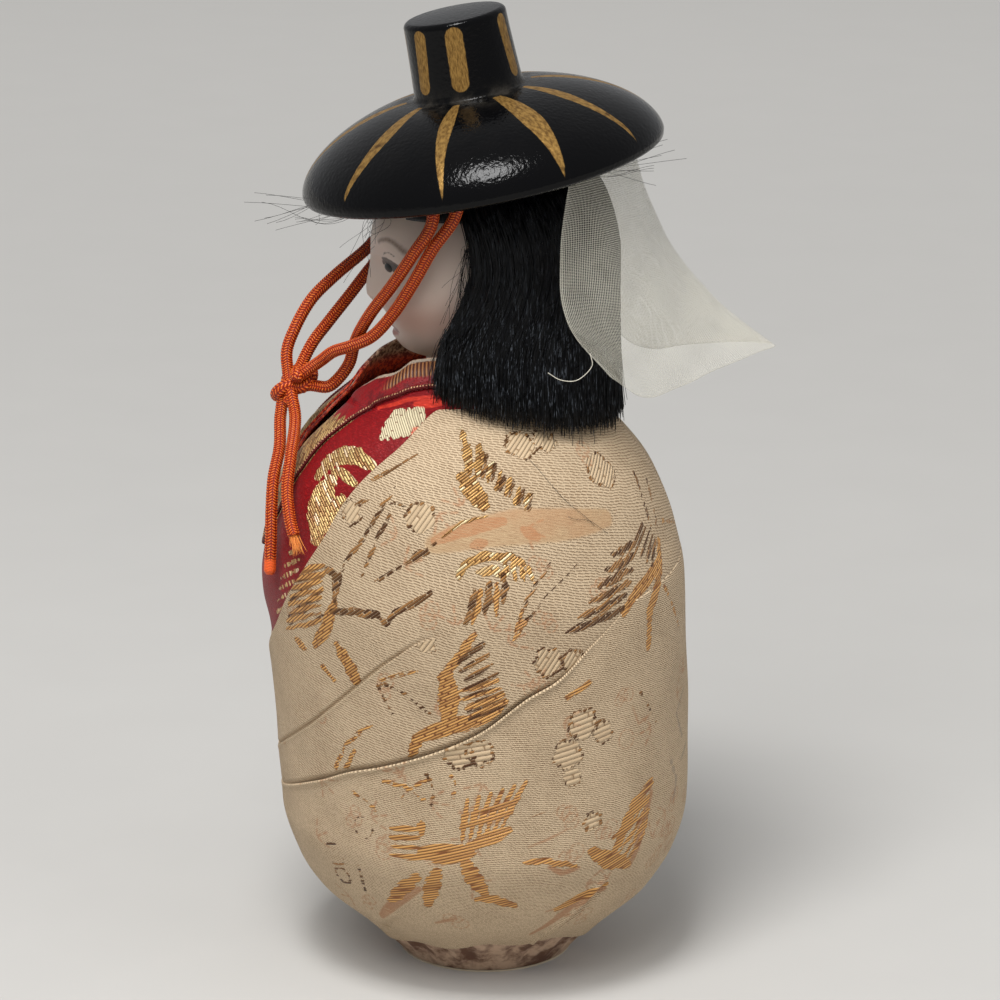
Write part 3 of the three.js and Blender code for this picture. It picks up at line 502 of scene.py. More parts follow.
cordRoots = {  # in the hat, the same on both sides
    side + run: hatPlace((sign * x, y, z))
    for side, sign in (("left", 1), ("right", -1))
    for run, (x, y, z) in (("Front", (20.4, -8.2, 6.0)), ("Back", (20.6, -3.8, 6.2)))
}
cordRuns = {
    "leftFront": [(19.8, -8.6, 136.4), (18, -12.1, 129.9), (15, -15.7, 123.9), (11.5, -19.1, 118.7),
                  (8.5, -21.2, 114.6), (5.8, -22.4, 111.2), (4.6, -23.2, 108), (4, -25, 105.2),
                  (3.2, -27, 103.4)],
    "leftBack": [(20, -4.6, 138), (18.9, -8.7, 131.2), (17, -12.2, 124.6), (14.2, -15.6, 118.8),
                 (11.8, -19.2, 114.4), (9.6, -22.9, 112.2), (7, -25.8, 110.6), (4.4, -28, 108.4)],
    "rightFront": [(-19.8, -9, 136), (-16.6, -14.8, 129.6), (-12.2, -20.5, 124.2), (-8, -26, 120.3),
                   (-5, -30, 116.8), (-3, -32.8, 112.2), (-2, -34.2, 108.4)],
    "rightBack": [(-20, -4.4, 137.6), (-17.2, -12.6, 128), (-13, -19.4, 121.2), (-9.4, -23.4, 116.7),
                  (-6.4, -27.2, 112.4), (-4, -29.8, 109.4)],
}
knotPasses = {  # where each length of braid goes through the knot
    "long": [(1.6, -30.4, 103.2), (0.8, -34.2, 102.2), (2.2, -35.2, 98.4)],
    "short": [(-0.6, -34.0, 105), (2.2, -33.4, 102.2), (5, -32.6, 98.6)],
    "loop": [(2.4, -31.2, 105.6), (0.2, -32.4, 104.4), (-2, -31.6, 106.2)],
}
knot = {"centre": np.array([0.4, -32.9, 103]), "tilt": np.radians(45), "ring": 2.48, "spread": 1.2,
        "diameter": 2.3, "opening": 0.2}


# braid height at a column round the cord and a stitch along it: stitches slant one way in one column and the
# other way in the next, with a groove between columns
def braidHeight(column, stitch):
    slant = np.abs((column / 2) % 1 * 2 - 1)
    crest = np.abs(np.cos(np.pi * (stitch + 0.8 * slant))) ** 0.8
    return crest * (1 - 0.6 * np.abs(2 * (column % 1) - 1) ** 5)


# round cord along an even path: radius swells with the braid and narrows where taper says
def braidedCord(name, path, diameter, material, taper=None, plainTip=0.0):
    along = lengthAlong(path)
    forward = unit(np.gradient(path, axis=0))
    side = unit(np.cross(forward, np.cross(forward, np.array([1.0, 0.12, 0.2]))))
    other = np.cross(forward, side)
    turn = np.linspace(0, 2 * np.pi, cord["sides"] + 1)
    column, stitch = turn / (2 * np.pi) * cord["columns"], along / cord["pitch"]
    fade = np.ones((len(path), 1))
    if plainTip:
        fade = ease(along[-1] - along, plainTip - 0.4, plainTip + 0.4)[:, None]
    height = braidHeight(column[None, :-1], stitch[:, None]) * fade + 0.75 * (1 - fade)
    radius = diameter / 2 * (1.08 - cord["relief"] * (1 - height))
    if taper is not None:
        radius = radius * taper(along, along[-1])[:, None]
    around = turn[:-1, None]
    ring = side[:, None] * np.cos(around) + other[:, None] * np.sin(around)
    grid = path[:, None] + radius[..., None] * ring
    braid = together(column[None, :], stitch[:, None])
    return gridMesh(name, grid, "hat_body", material, roundColumns=True, slot="orange_cord",
                    maps={"braid": braid}, fields={"tip": np.broadcast_to(1 - fade, height.shape)})


# silk braid: the same stitches as the form, drawn finer, with painted shade darkening the grooves and painted
# highlights on the crests
def cordMaterial():
    paint = startMaterial("orangeBraid")
    times, plus, mix, step = paint.times, paint.plus, paint.mix, paint.step
    column, along = paint.split(paint.uv("braid"))[:2]
    half = paint.fraction(times(column, 0.5))
    slant = paint.absolute(paint.minus(times(half, 2.0), 1.0))
    run = plus(along, times(slant, 0.8))
    crest = paint.absolute(paint.maths("COSINE", times(run, np.pi)))
    middle = paint.minus(times(paint.fraction(column), 2.0), 1.0)
    groove = step(paint.absolute(middle), 1.0, 0.62)
    stitch = times(crest, plus(0.35, times(groove, 0.65)))
    fibre = paint.noise(paint.place(), 5200.0, 3.0, 0.6)
    # painted shade in the grooves and between stitches, then painted highlight specks on the crests
    body = mix(step(stitch, 0.35, 0.85), cord["groove"], cord["colour"])
    glint = times(step(stitch, 0.74, 0.98), step(fibre, 0.35, 0.65))
    body = mix(glint, body, cord["shine"])
    body = mix(paint.field("tip"), body, (226, 92, 38))
    height = plus(stitch, times(fibre, 0.3))
    return paint.finish(Base_Color=body, Roughness=0.42, Normal=paint.bump(height, 0.6, 0.00012),
                        Specular_IOR_Level=0.35)


# three lengths of braid through one knot, and a frayed end
def buildCords():
    material = cordMaterial()
    tail = lambda key: [robePoint(a, h, cord["tailLift"]) for a, h in cord[key]]
    run = lambda key: [cordRoots[key], *cordRuns[key]]
    longWay = [*run("leftFront"), *knotPasses["long"], *tail("longTail")]
    shortWay = [*run("rightFront"), *knotPasses["short"], *tail("shortTail")]
    loopWay = [*run("leftBack"), *knotPasses["loop"], *run("rightBack")[::-1]]
    # knot: twice round its ring while winding three times through it
    turn = np.linspace(knot["opening"], 2 * np.pi - knot["opening"], 420)
    reach = knot["ring"] + knot["spread"] * np.cos(3 * turn)
    rise = knot["spread"] * np.sin(3 * turn)
    flat = together(reach * np.cos(2 * turn), reach * np.sin(2 * turn), rise)
    knotPath = tilted(flat, knot)
    ends = lambda along, full: np.sqrt(ease(along, -0.5, 0.8) * ease(full - along, -0.5, 0.8))
    knotPiece = braidedCord("knotBraid", evenPath(knotPath[::7], 0.11)[0], knot["diameter"], material, ends)
    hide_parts("cord_knot")
    lengthsFound = {}
    for name, way, nodes, farEnd, plainTip in (
        ("longBraid", longWay, ("cord_left_front", "cord_tail_long"), "bare", 2.6),
        ("shortBraid", shortWay, ("cord_right_front", "cord_tail_short"), "bare", 0.0),
        ("loopBraid", loopWay, ("cord_left_back", "cord_right_back"), "object", 0.0),
    ):
        path, length = evenPath(way, cord["spacing"])
        tip = (lambda along, full: ease(full - along, -0.5, 0.9) ** 0.5) if plainTip else None
        piece = braidedCord(name, path, cord["diameter"], material, tip, plainTip)
        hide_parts(*nodes)
        lengthsFound[name] = round(float(length), 1)
    # frayed end of the short tail: fibres that spread from the last stitches
    random = np.random.default_rng(7)
    fray = cord["fray"]
    count, steps = fray["fibres"], fray["steps"]
    before, end = tail("shortTail")[-2:]
    forward = unit(end - before)
    spread = random.normal(0, 1, (count, 3))
    spread -= (spread @ forward)[:, None] * forward
    length = random.uniform(fray["shortest"], fray["longest"], count)[:, None, None]
    share = shares(steps)[None, :, None]
    root = end - 0.6 * forward + 0.36 * spread[:, None]
    paths = root + forward * length * share + fray["spread"] * spread[:, None] * share**1.5
    paint = startMaterial("frayedFibre")
    tint = paint.mix(paint.noise(paint.place(), 2600.0), (226, 112, 40), (246, 170, 88))
    radius = np.full((count, steps), fray["radius"]) * (1 - 0.6 * share[..., 0])
    strandMesh("frayedTail", paths, radius, "hat_body", paint.finish(Base_Color=tint, Roughness=0.45),
               "orange_cord")
    print("cords", lengthsFound, "frayed fibres", count)


buildCords()


unpainted = 6.0  # a distance in mm that is far from any painted line

# Hat: lacquered brim and crown turned from one profile
hat = {
    "rimRadius": 31.3, "domeHeight": 12.4, "acrossPower": 1.61, "upPower": 1.71, "crownBase": 9.3,
    "crownTop": 8.8, "height": 26, "edge": 1.0, "rimDrop": 1.3, "wall": 2.6, "columns": 300,
    "strokeFoot": 10.8, "strokeSpan": 18, "barLow": 1.7, "barHigh": 1.0,
    "dust": {"aside": 1.2, "reach": 2.6, "rise": 1.6, "share": 0.75, "brim": 0.03},
    "lacquer": (5, 5, 6), "gold": (164, 128, 70), "goldShade": (104, 76, 38),
    # brim strokes: angle from the left side towards the back, bend, greatest half width, where it is widest
    "brimStrokes": [(-126, 3, 1.4, 0.5), (-88, -3, 1.5, 0.45), (-50, 4, 1.35, 0.5), (-11, -2, 1.25, 0.42),
                    (26, 2, 1.9, 0.55), (60, -2, 1.2, 0.4), (98, 3, 1.5, 0.5), (136, -3, 1.6, 0.5),
                    (172, 2, 1.4, 0.45), (204, -2, 1.5, 0.5)],
    # crown bars: angle, lean from top to bottom, half width
    "crownBars": [(-88, -4, 1.4), (-44, -6, 1.3), (-2, -3, 1.5), (62, 5, 1.3), (106, 4, 1.5), (150, 3, 1.4),
                  (192, -3, 1.5), (234, -4, 1.4)],
}


# brim dome: a squared quarter ellipse from the rim up to the foot of the crown
def domeAt(share):
    turn = np.pi / 2 * share
    brim = hat["rimRadius"] - hat["crownBase"]
    radius = hat["crownBase"] + brim * np.cos(turn) ** (2 / hat["acrossPower"])
    return radius, hat["domeHeight"] * np.sin(turn) ** (2 / hat["upPower"])


# half section of the hat from the crown's centre over the brim and back inside, and its rows outside
def hatProfile():
    corner = np.linspace(0, np.pi / 2, 12)
    topRadius = np.linspace(0.02, hat["crownTop"] - hat["edge"], 14)
    # the top is a little domed
    crownTop = together(topRadius, hat["height"] - 0.3 * (topRadius / hat["crownTop"]) ** 2)
    topEdge = together(hat["crownTop"] - hat["edge"] * (1 - np.sin(corner)),
                       crownTop[-1, 1] - hat["edge"] * (1 - np.cos(corner)))[1:]
    share = shares(40)[1:]
    base = hat["domeHeight"] + 0.9  # foot of the crown's straight side
    sideHeight = topEdge[-1, 1] + (base - topEdge[-1, 1]) * share
    sideRadius = hat["crownTop"] + (hat["crownBase"] - hat["crownTop"]) * share**1.4
    side = together(sideRadius, sideHeight)
    radius, height = domeAt(np.linspace(0.93, 0, 90))
    dome = together(radius, np.maximum(height, 0))
    fillet = throughPoints([side[-1], (hat["crownBase"] + 0.35, hat["domeHeight"] + 0.2), dome[0]],
                           shares(12)[1:-1])
    drop, rim = hat["rimDrop"], hat["rimRadius"]
    innerRim = rim - hat["wall"]
    lip = throughPoints([(rim, 0), (rim - 0.25, -0.85), (rim - 1.05, -drop), (innerRim, -drop),
                         (innerRim - 0.9, -0.2)], shares(26)[1:])
    inside = np.linspace(innerRim - 1.2, 0.02, 40)
    outerRadius, outerHeight = domeAt(shares(200))
    ceiling = np.interp(inside + 0.45 * hat["wall"], outerRadius[::-1], outerHeight[::-1])
    ceiling = ceiling - 0.85 * hat["wall"]
    ceiling = np.where(inside <= hat["crownBase"], hat["domeHeight"] - hat["wall"], ceiling)
    ceiling = np.minimum(ceiling, hat["domeHeight"] - hat["wall"])
    under = together(inside, ceiling)
    outside = np.concatenate([crownTop, topEdge, side, fillet, dome])
    return np.concatenate([outside, lip, under]), len(outside)


# gold brush strokes: distance in mm to the nearest stroke, below zero inside it
def strokeField(turn, radius, height):
    field = np.full(np.broadcast(turn, radius).shape, unpainted)
    degrees = np.degrees(turn)
    apart = lambda angle: (degrees - angle + 180) % 360 - 180
    # 0 by the crown, 1 at the rim
    out = (radius - hat["strokeFoot"]) / (hat["rimRadius"] - hat["strokeFoot"])
    outward = np.clip(out, 0, 1)
    for angle, bend, half, widest in hat["brimStrokes"]:
        centre = angle + bend * np.sin(np.pi * outward * 0.9)
        swell = np.where(outward < widest, np.sin(np.pi / 2 * np.clip(0.25 + 0.75 * outward / widest, 0, 1)),
                         np.clip(1 - (outward - widest) / (1 - widest), 0, 1) ** 0.6)
        away = np.abs(np.radians(apart(centre))) * radius - half * swell
        ends = np.maximum(-out, out - 1) * hat["strokeSpan"]
        field = np.where(height < hat["domeHeight"] + 0.35, np.minimum(field, np.maximum(away, ends)), field)
    for angle, lean, half in hat["crownBars"]:
        low, high = hat["domeHeight"] + hat["barLow"], hat["height"] - hat["barHigh"]
        share = (high - height) / (high - low)
        across = np.abs(np.radians(apart(angle + lean * share))) * radius
        past = np.maximum(np.maximum(height - (high - half), low + half - height), 0)
        bar = np.hypot(across, past) - half
        field = np.where(height > hat["domeHeight"], np.minimum(field, bar), field)
    return field


# lacquer with a fine peel, brushed gold inside the strokes and dust where the dust field says
def lacquerMaterial():
    paint = startMaterial("blackLacquer")
    place = paint.place()
    edgeNoise = paint.times(paint.minus(paint.noise(place, 900.0, 3.0), 0.5), 0.24)
    mask = paint.step(paint.plus(paint.field("stroke"), edgeNoise), 0.1, -0.1)
    brushed = paint.noise(paint.stretch(paint.uv("turned"), (260.0, 8.0, 1.0)), 1.0, 4.0, 0.6)
    worn = paint.noise(place, 420.0, 4.0, 0.62)
    gold = paint.mix(paint.step(brushed, 0.3, 0.7), hat["goldShade"], hat["gold"])
    gold = paint.mix(paint.step(worn, 0.6, 0.72), gold, (84, 60, 30))
    patchy = paint.step(paint.noise(place, 300.0, 5.0, 0.65), 0.35, 0.75)
    dust = paint.times(paint.field("dust"), patchy)
    black = paint.mix(dust, hat["lacquer"], (58, 54, 48))
    peel = paint.noise(place, 1500.0, 1.5, 0.45)
    speck = paint.noise(place, 3600.0, 2.0, 0.5)
    height = paint.plus(peel, paint.times(speck, 0.25))
    rough = paint.blend(mask, paint.plus(0.13, paint.times(dust, 0.5)), 0.42)
    metal = paint.times(mask, 0.55)
    return paint.finish(Base_Color=paint.mix(mask, black, gold), Roughness=rough, Metallic=metal,
                        Normal=paint.bump(height, 0.55, 0.00014), Specular_IOR_Level=0.15)


# the profile turned all the way round
def buildHat():
    profile, shown = hatProfile()
    turn = fullTurn(hat["columns"])
    radius, height = profile[:, :1], profile[:, 1:]
    grid = hatPlace(together(radius * np.cos(turn), radius * np.sin(turn), height))
    outside = np.arange(len(profile))[:, None] < shown - 1
    field = np.where(outside, strokeField(turn[None, :], radius, height), unpainted)
    dust = hat["dust"]  # most of it in the crease at the crown's foot
    aside, above = radius - hat["crownBase"] - dust["aside"], height - hat["domeHeight"]
    crease = np.exp(-(aside / dust["reach"]) ** 2) * np.exp(-(above / dust["rise"]) ** 2)
    brimDust = dust["brim"] * ease(height, 3.0, 10.0) * (radius > hat["crownBase"] + 0.1)
    dusty = np.broadcast_to(np.clip(dust["share"] * crease + brimDust, 0, 1), field.shape)
    along = lengthAlong(profile)
    around = shares(hat["columns"] + 1)
    turned = together(around[None, :], along[:, None] * 0.1)
    piece = gridMesh("lacquerHat", grid, "hat_body", lacquerMaterial(), roundColumns=True,
                     slot="black_lacquer", maps={"turned": turned}, fields={"stroke": field, "dust": dusty})
    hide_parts("hat")
    print("hat", grid.shape)


buildHat()


# Head: squared ball with a narrowing jaw, a nose, lips, a chin and eye hollows
eyeSide, eyeHeight = 6.9, 2.8
head = {
    "centre": np.array([0, -2.5, 125]), "tilt": np.radians(10.95), "halfWidth": 14.6, "front": 16.7,
    "back": 16.5, "above": 17.5, "below": 16.6, "squareness": 2.5, "jawTaper": 0.22,
    "nose": {"height": -2.3, "lift": 1.9, "halfWidth": 1.45, "bridge": 3.4, "underside": 1.25},
    "bumps": [  # lift, side, half width, height and half height, the same on both sides of the face
        (0.45, 1.7, 0.6, -3.3, 0.8),  # nostrils
        (2.6, 0, 5, -13, 2.8),  # chin
        (-2.1, eyeSide, 3.4, eyeHeight, 2.6),  # eye hollows
        (0.35, eyeSide, 2.8, eyeHeight + 1.9, 0.5),  # upper lids
        (0.5, 0, 1.9, -8.2, 0.6),  # upper lip
        (0.5, 0, 1.9, -10, 0.7),  # lower lip
        (-0.35, 0, 2.2, -9.1, 0.35),  # line between the lips
    ],
    "eye": {"side": eyeSide, "height": eyeHeight, "halfWidth": 2.7, "halfHeight": 1.15, "halfDepth": 1.3,
            "turn": 32, "inset": 0.25, "rows": 30, "columns": 48},
    "mouth": {"recess": 1, "top": 3, "bottom": 9},
    "paint": (206, 188, 175), "blush": (198, 146, 130), "lips": (148, 74, 68), "brow": (98, 72, 54),
    "lid": (34, 28, 25),
    "rows": 200, "columns": 260,
    "lines": {  # painted lines: half width, then points across and up the face
        "lid": (0.36, [(5.2, 3.5), (6.6, 4.5), (8.4, 4.7), (9.6, 4.4), (10.6, 3.9), (11.8, 3)]),
        "crease": (0.12, [(7.4, 5.5), (8.5, 5.9), (9.6, 6), (10.6, 5.5)]),
        "almond": (0.9, [(6.8, 3.4), (8.4, 3.5), (10, 3.1), (11.2, 2.7)]),
        "brow": (0.3, [(6.8, 7.6), (8, 8.1), (9.4, 8.3), (10.5, 7.9), (11.5, 7), (12.2, 6.1)]),
        "upperLip": (0.42, [(0, -8.4), (1.6, -8.1), (4.2, -8.8)]),
        "lowerLip": (0.55, [(0, -9.8), (2.0, -9.6), (3.6, -9.2)]),
        "mouth": (0.1, [(0, -9), (2.4, -8.9), (4.6, -9.1)]),
    },
}
neck = {"radius": 6.4, "waist": 0.5, "low": 103.2, "high": 114.5, "y": -4.2, "rows": 14, "columns": 48}


# head frame to doll frame
def headPlace(points):
    return tilted(points, head)


# bell curve of a distance
def hump(distance, width):
    return np.exp(-(distance**2) / (2 * width**2))


# head surface: direction on a ball pushed out to a rounded box, then bumps added towards the front
def headSurface(longitude, latitude):
    level = np.cos(latitude)
    d = together(level * np.sin(longitude), -level * np.cos(longitude), np.sin(latitude))
    power = head["squareness"]
    reach = np.sum(np.abs(d) ** power, -1) ** (-1 / power)
    x = d[..., 0] * reach * head["halfWidth"]
    y = d[..., 1] * reach * np.where(d[..., 1] < 0, head["front"], head["back"])
    z = d[..., 2] * reach * np.where(d[..., 2] > 0, head["above"], head["below"])
    x = x * (1 - head["jawTaper"] * ease(-z, 0, head["below"]))
    facing = ease(-y, 0, head["front"] / 2)
    nose = head["nose"]
    noseReach = np.where(z > nose["height"], nose["bridge"], nose["underside"])
    bumps = nose["lift"] * hump(x, nose["halfWidth"]) * hump(z - nose["height"], noseReach)
    for lift, side, halfWidth, height, halfHeight in head["bumps"]:
        bumps += lift * hump(np.abs(x) - side, halfWidth) * hump(z - height, halfHeight)
    bumps -= head["mouth"]["recess"] * ease(-z, head["mouth"]["top"], head["mouth"]["bottom"])
    return together(x, y - facing * bumps, z)


# distance in mm from face points to a chain of painted points across (x) and up (z) the face, less the half
# width of the line
def paintedLine(x, z, half, chain):
    chain = np.array(chain, float)
    least = np.full(x.shape, 9.0)
    for (ax, az), (bx, bz) in zip(chain[:-1], chain[1:]):
        dx, dz = bx - ax, bz - az
        t = np.clip(((x - ax) * dx + (z - az) * dz) / (dx * dx + dz * dz), 0, 1)
        least = np.minimum(least, np.hypot(x - ax - t * dx, z - az - t * dz))
    return least - half


# shell white with blush, and painted lines where their distance fields pass below zero
def faceMaterial():
    paint = startMaterial("shellWhite")
    place = paint.place()
    mottle = paint.noise(place, 260.0, 4.0, 0.6)
    skin = paint.mix(mottle, [v - 8 for v in head["paint"]], head["paint"])
    skin = paint.mix(paint.times(paint.field("blush"), 0.48), skin, head["blush"])
    wobble = paint.times(paint.minus(paint.noise(place, 2400.0), 0.5), 0.25)
    line = lambda name, soft: paint.step(paint.plus(paint.field(name), wobble), soft, -soft)
    skin = paint.mix(paint.times(line("lips", 0.35), 0.85), skin, head["lips"])
    skin = paint.mix(paint.times(line("brow", 0.4), 0.85), skin, head["brow"])
    skin = paint.mix(line("almond", 0.12), skin, (24, 22, 18))
    skin = paint.mix(paint.times(line("lid", 0.14), 0.9), skin, head["lid"])
    fine = paint.noise(place, 1800.0, 3.0)
    return paint.finish(Base_Color=skin, Roughness=0.42, Normal=paint.bump(fine, 0.12, 0.00005),
                        Subsurface_Weight=0.06, Subsurface_Scale=0.002)


# painted head, neck post and glass eyes
def buildHead():
    swing = np.linspace(-np.pi, np.pi, head["columns"], endpoint=False)
    longitude = swing - 0.42 * np.sin(swing)  # columns crowd towards the face
    latitude = np.linspace(np.pi / 2 - 0.004, -np.pi / 2 + 0.004, head["rows"])
    surface = headSurface(longitude[None, :], latitude[:, None])
    x, y, z = surface[..., 0], surface[..., 1], surface[..., 2]
    beside, front = np.abs(x), y < -2
    eye = head["eye"]

    def lines(*keys):  # the nearest of these painted lines, on the front of the head alone
        nearest = np.min([paintedLine(beside, z, *head["lines"][key]) for key in keys], axis=0)
        return np.where(front, nearest, unpainted)

    blush = hump(beside - 10.3, 3.4) * hump(z + 6.6, 3.4) + 0.25 * hump(beside - 5, 4) * hump(z - 6, 2.5)
    fields = {"lid": lines("lid", "crease", "mouth"), "almond": lines("almond"), "brow": lines("brow"),
              "lips": lines("upperLip", "lowerLip"), "blush": np.where(front, blush, 0)}
    material = faceMaterial()
    piece = gridMesh("paintedHead", headPlace(surface), "head_body", material, roundColumns=True,
                     slot="face_white", fields=fields)
    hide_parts("head")
    # neck: a short waisted post between the collar and the chin
    share = shares(neck["rows"])[:, None]
    turn = fullTurn(neck["columns"])
    radius = neck["radius"] - neck["waist"] * np.sin(np.pi * share)
    height = neck["low"] + (neck["high"] - neck["low"]) * share
    post = together(radius * np.sin(turn), neck["y"] - radius * np.cos(turn), height)
    blank = {key: np.full(post.shape[:2], 0.0 if key == "blush" else unpainted) for key in fields}
    gridMesh("neckPost", post, "head_body", material, roundColumns=True, slot="face_white", fields=blank)
    # eyes: flattened glass balls set in the sockets
    glass = startMaterial("eyeGlass")
    depth = glass.noise(glass.place(), 900.0)
    iris = glass.mix(depth, (8, 8, 7), (22, 23, 19))
    glassMaterial = glass.finish(Base_Color=iris, Roughness=0.35, Specular_IOR_Level=0.2)
    for side, node in ((1, "eye_left"), (-1, "eye_right")):
        near = np.argmin(np.hypot(x - side * eye["side"], z - eye["height"]) + 9 * (y > 0))
        socket = y.ravel()[near] + eye["halfDepth"] - eye["inset"]
        centre = np.array([side * eye["side"], socket, eye["height"]])
        lon = fullTurn(eye["columns"])
        lat = np.linspace(np.pi / 2 - 0.01, -np.pi / 2 + 0.01, eye["rows"])[:, None]
        ball = together(eye["halfWidth"] * np.cos(lat) * np.cos(lon),
                        eye["halfDepth"] * np.cos(lat) * np.sin(lon), eye["halfHeight"] * np.sin(lat))
        swivel = np.radians(side * eye["turn"])
        cosine, sine = np.cos(swivel), np.sin(swivel)
        wide, deep, tall = np.moveaxis(ball, -1, 0)
        ball = together(wide * cosine - deep * sine, wide * sine + deep * cosine, tall) + centre
        glassEye = gridMesh("glassEye" + ("Left" if side > 0 else "Right"), headPlace(ball), "head_body",
                            glassMaterial, roundColumns=True, slot="eye_glass")
        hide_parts(node)
    print("head", surface.shape)


buildHead()


# Wig: a thick bob of straight black hair with blunt ends
hair = {
    "halfWidth": 18.6, "flare": 0.13, "halfDepth": 19.8, "centreY": 3, "shoulder": 128, "top": 147.2,
    "domePower": 2.4, "endHeight": 104.6, "endSlope": -0.244,
    "faceEdge": [(103, -7.4), (108, -7.4), (112, -7.2), (115, -6.3), (117.5, -5), (120, -3.8), (123, -2.4),
                 (126, -1.5), (131, -1.2), (140, -2.6)],
    "hairline": 135.6, "curtainTop": 138, "cheek": 120, "tipLevel": 105, "columns": 120, "rows": 40,
    "capOut": (-3.6, -0.2), "curtainOut": (-2.6, -0.35),  # inner and outer face, from the wig's surface
    "strands": 5200, "steps": 13, "rooted": (133, 141), "radius": (0.05, 0.11), "looseRadius": 0.035,
    # the colour after the hair's own is a painted sheen for lighter strands
    "colour": (4, 4, 5), "sheen": (20, 22, 26),
    "tufts": [  # loose hairs: root, sweep, how many and how far they spread
        ((6, -17.5, 136.5), (2, -4, -9), 14, 3.2),  # over the forehead
        ((4, -18.5, 136), (-1, -20, -3), 16, 4.2),  # out past the hat's front rim
        ((17.6, -3, 131), (1.5, -2, -13), 26, 1.5),  # beside the face
        ((8, 15.4, 142.6), (4, 15, 3), 14, 2.4),  # behind the hat's back rim
        ((21, -6.5, 118), (0.5, -1.5, -12), 12, 1.2),
    ],
    "lain": [((115.8, 96), (130, 84.8)), ((122, 88), (134, 84))],  # long hairs on the shoulder, first to last
}


# outer surface of the wig at an angle from the front and a height, pushed out by an amount
def hairSurface(turn, height, out):
    domeHeight = hair["top"] - hair["shoulder"]
    rise = np.clip((height - hair["shoulder"]) / domeHeight, 0, 0.999)
    closing = (1 - rise ** hair["domePower"]) ** (1 / hair["domePower"])
    flare = hair["flare"] * np.maximum(0, hair["shoulder"] - height)
    bow = np.maximum(0, height - hair["shoulder"]) * np.sin(head["tilt"])
    back = -(hair["halfDepth"] + out) * closing * np.cos(turn)
    return together((hair["halfWidth"] + flare + out) * closing * np.sin(turn), hair["centreY"] - bow + back,
                    height + back * np.tan(head["tilt"]) * rise)


hairFront = stationCurve(hair["faceEdge"])


# height of the blunt ends, falling towards the back
def hairEnd(y):
    return hair["endHeight"] + hair["endSlope"] * y


# angle from the front where the hair beside the face begins, at a height
def faceEdge(height):
    return np.arccos(np.clip((hair["centreY"] - hairFront(height)) / hair["halfDepth"], -1, 1))


# angle of the hair that is a share of the way round from one side of the face to the other, at a height
def hairTurn(share, height):
    start = faceEdge(height)
    return start + (2 * np.pi - 2 * start) * share


# height at which the hair is cut, at a share of the way round
def hairTip(share):
    turn = hairTurn(share, np.full((1, 1), hair["cheek"]))
    return hairEnd(hairSurface(turn, np.full(turn.shape, hair["tipLevel"]), 0)[..., 1])


# black hair: lighter streaks along it as painted sheen, and blue-grey painted highlights only low down, below
# the brim's shade
def hairMaterial():
    paint = startMaterial("blackHair")
    strand = paint.noise(paint.stretch(paint.place(), (2600.0, 2600.0, 90.0)), 1.0, 3.0, 0.6)
    tone = paint.mix(paint.step(strand, 0.45, 0.75), hair["colour"], hair["sheen"])
    fine = paint.noise(paint.stretch(paint.place(), (3400.0, 3400.0, 260.0)), 1.0, 2.0, 0.6)
    # painted highlights kept to the lower hair, where light falls below the brim
    lower = paint.step(paint.split(paint.place())[2], 0.128, 0.108, 0.12, 0.6)
    glint = paint.times(paint.step(fine, 0.55, 0.68), lower)
    tone = paint.mix(glint, tone, (104, 110, 118))
    gloss = paint.step(paint.noise(paint.place(), 900.0, 2.0), 0.35, 0.7, 0.5, 0.26)
    return paint.finish(Base_Color=tone, Roughness=gloss, Normal=paint.bump(strand, 0.8, 0.0001),
                        Specular_IOR_Level=0.3)


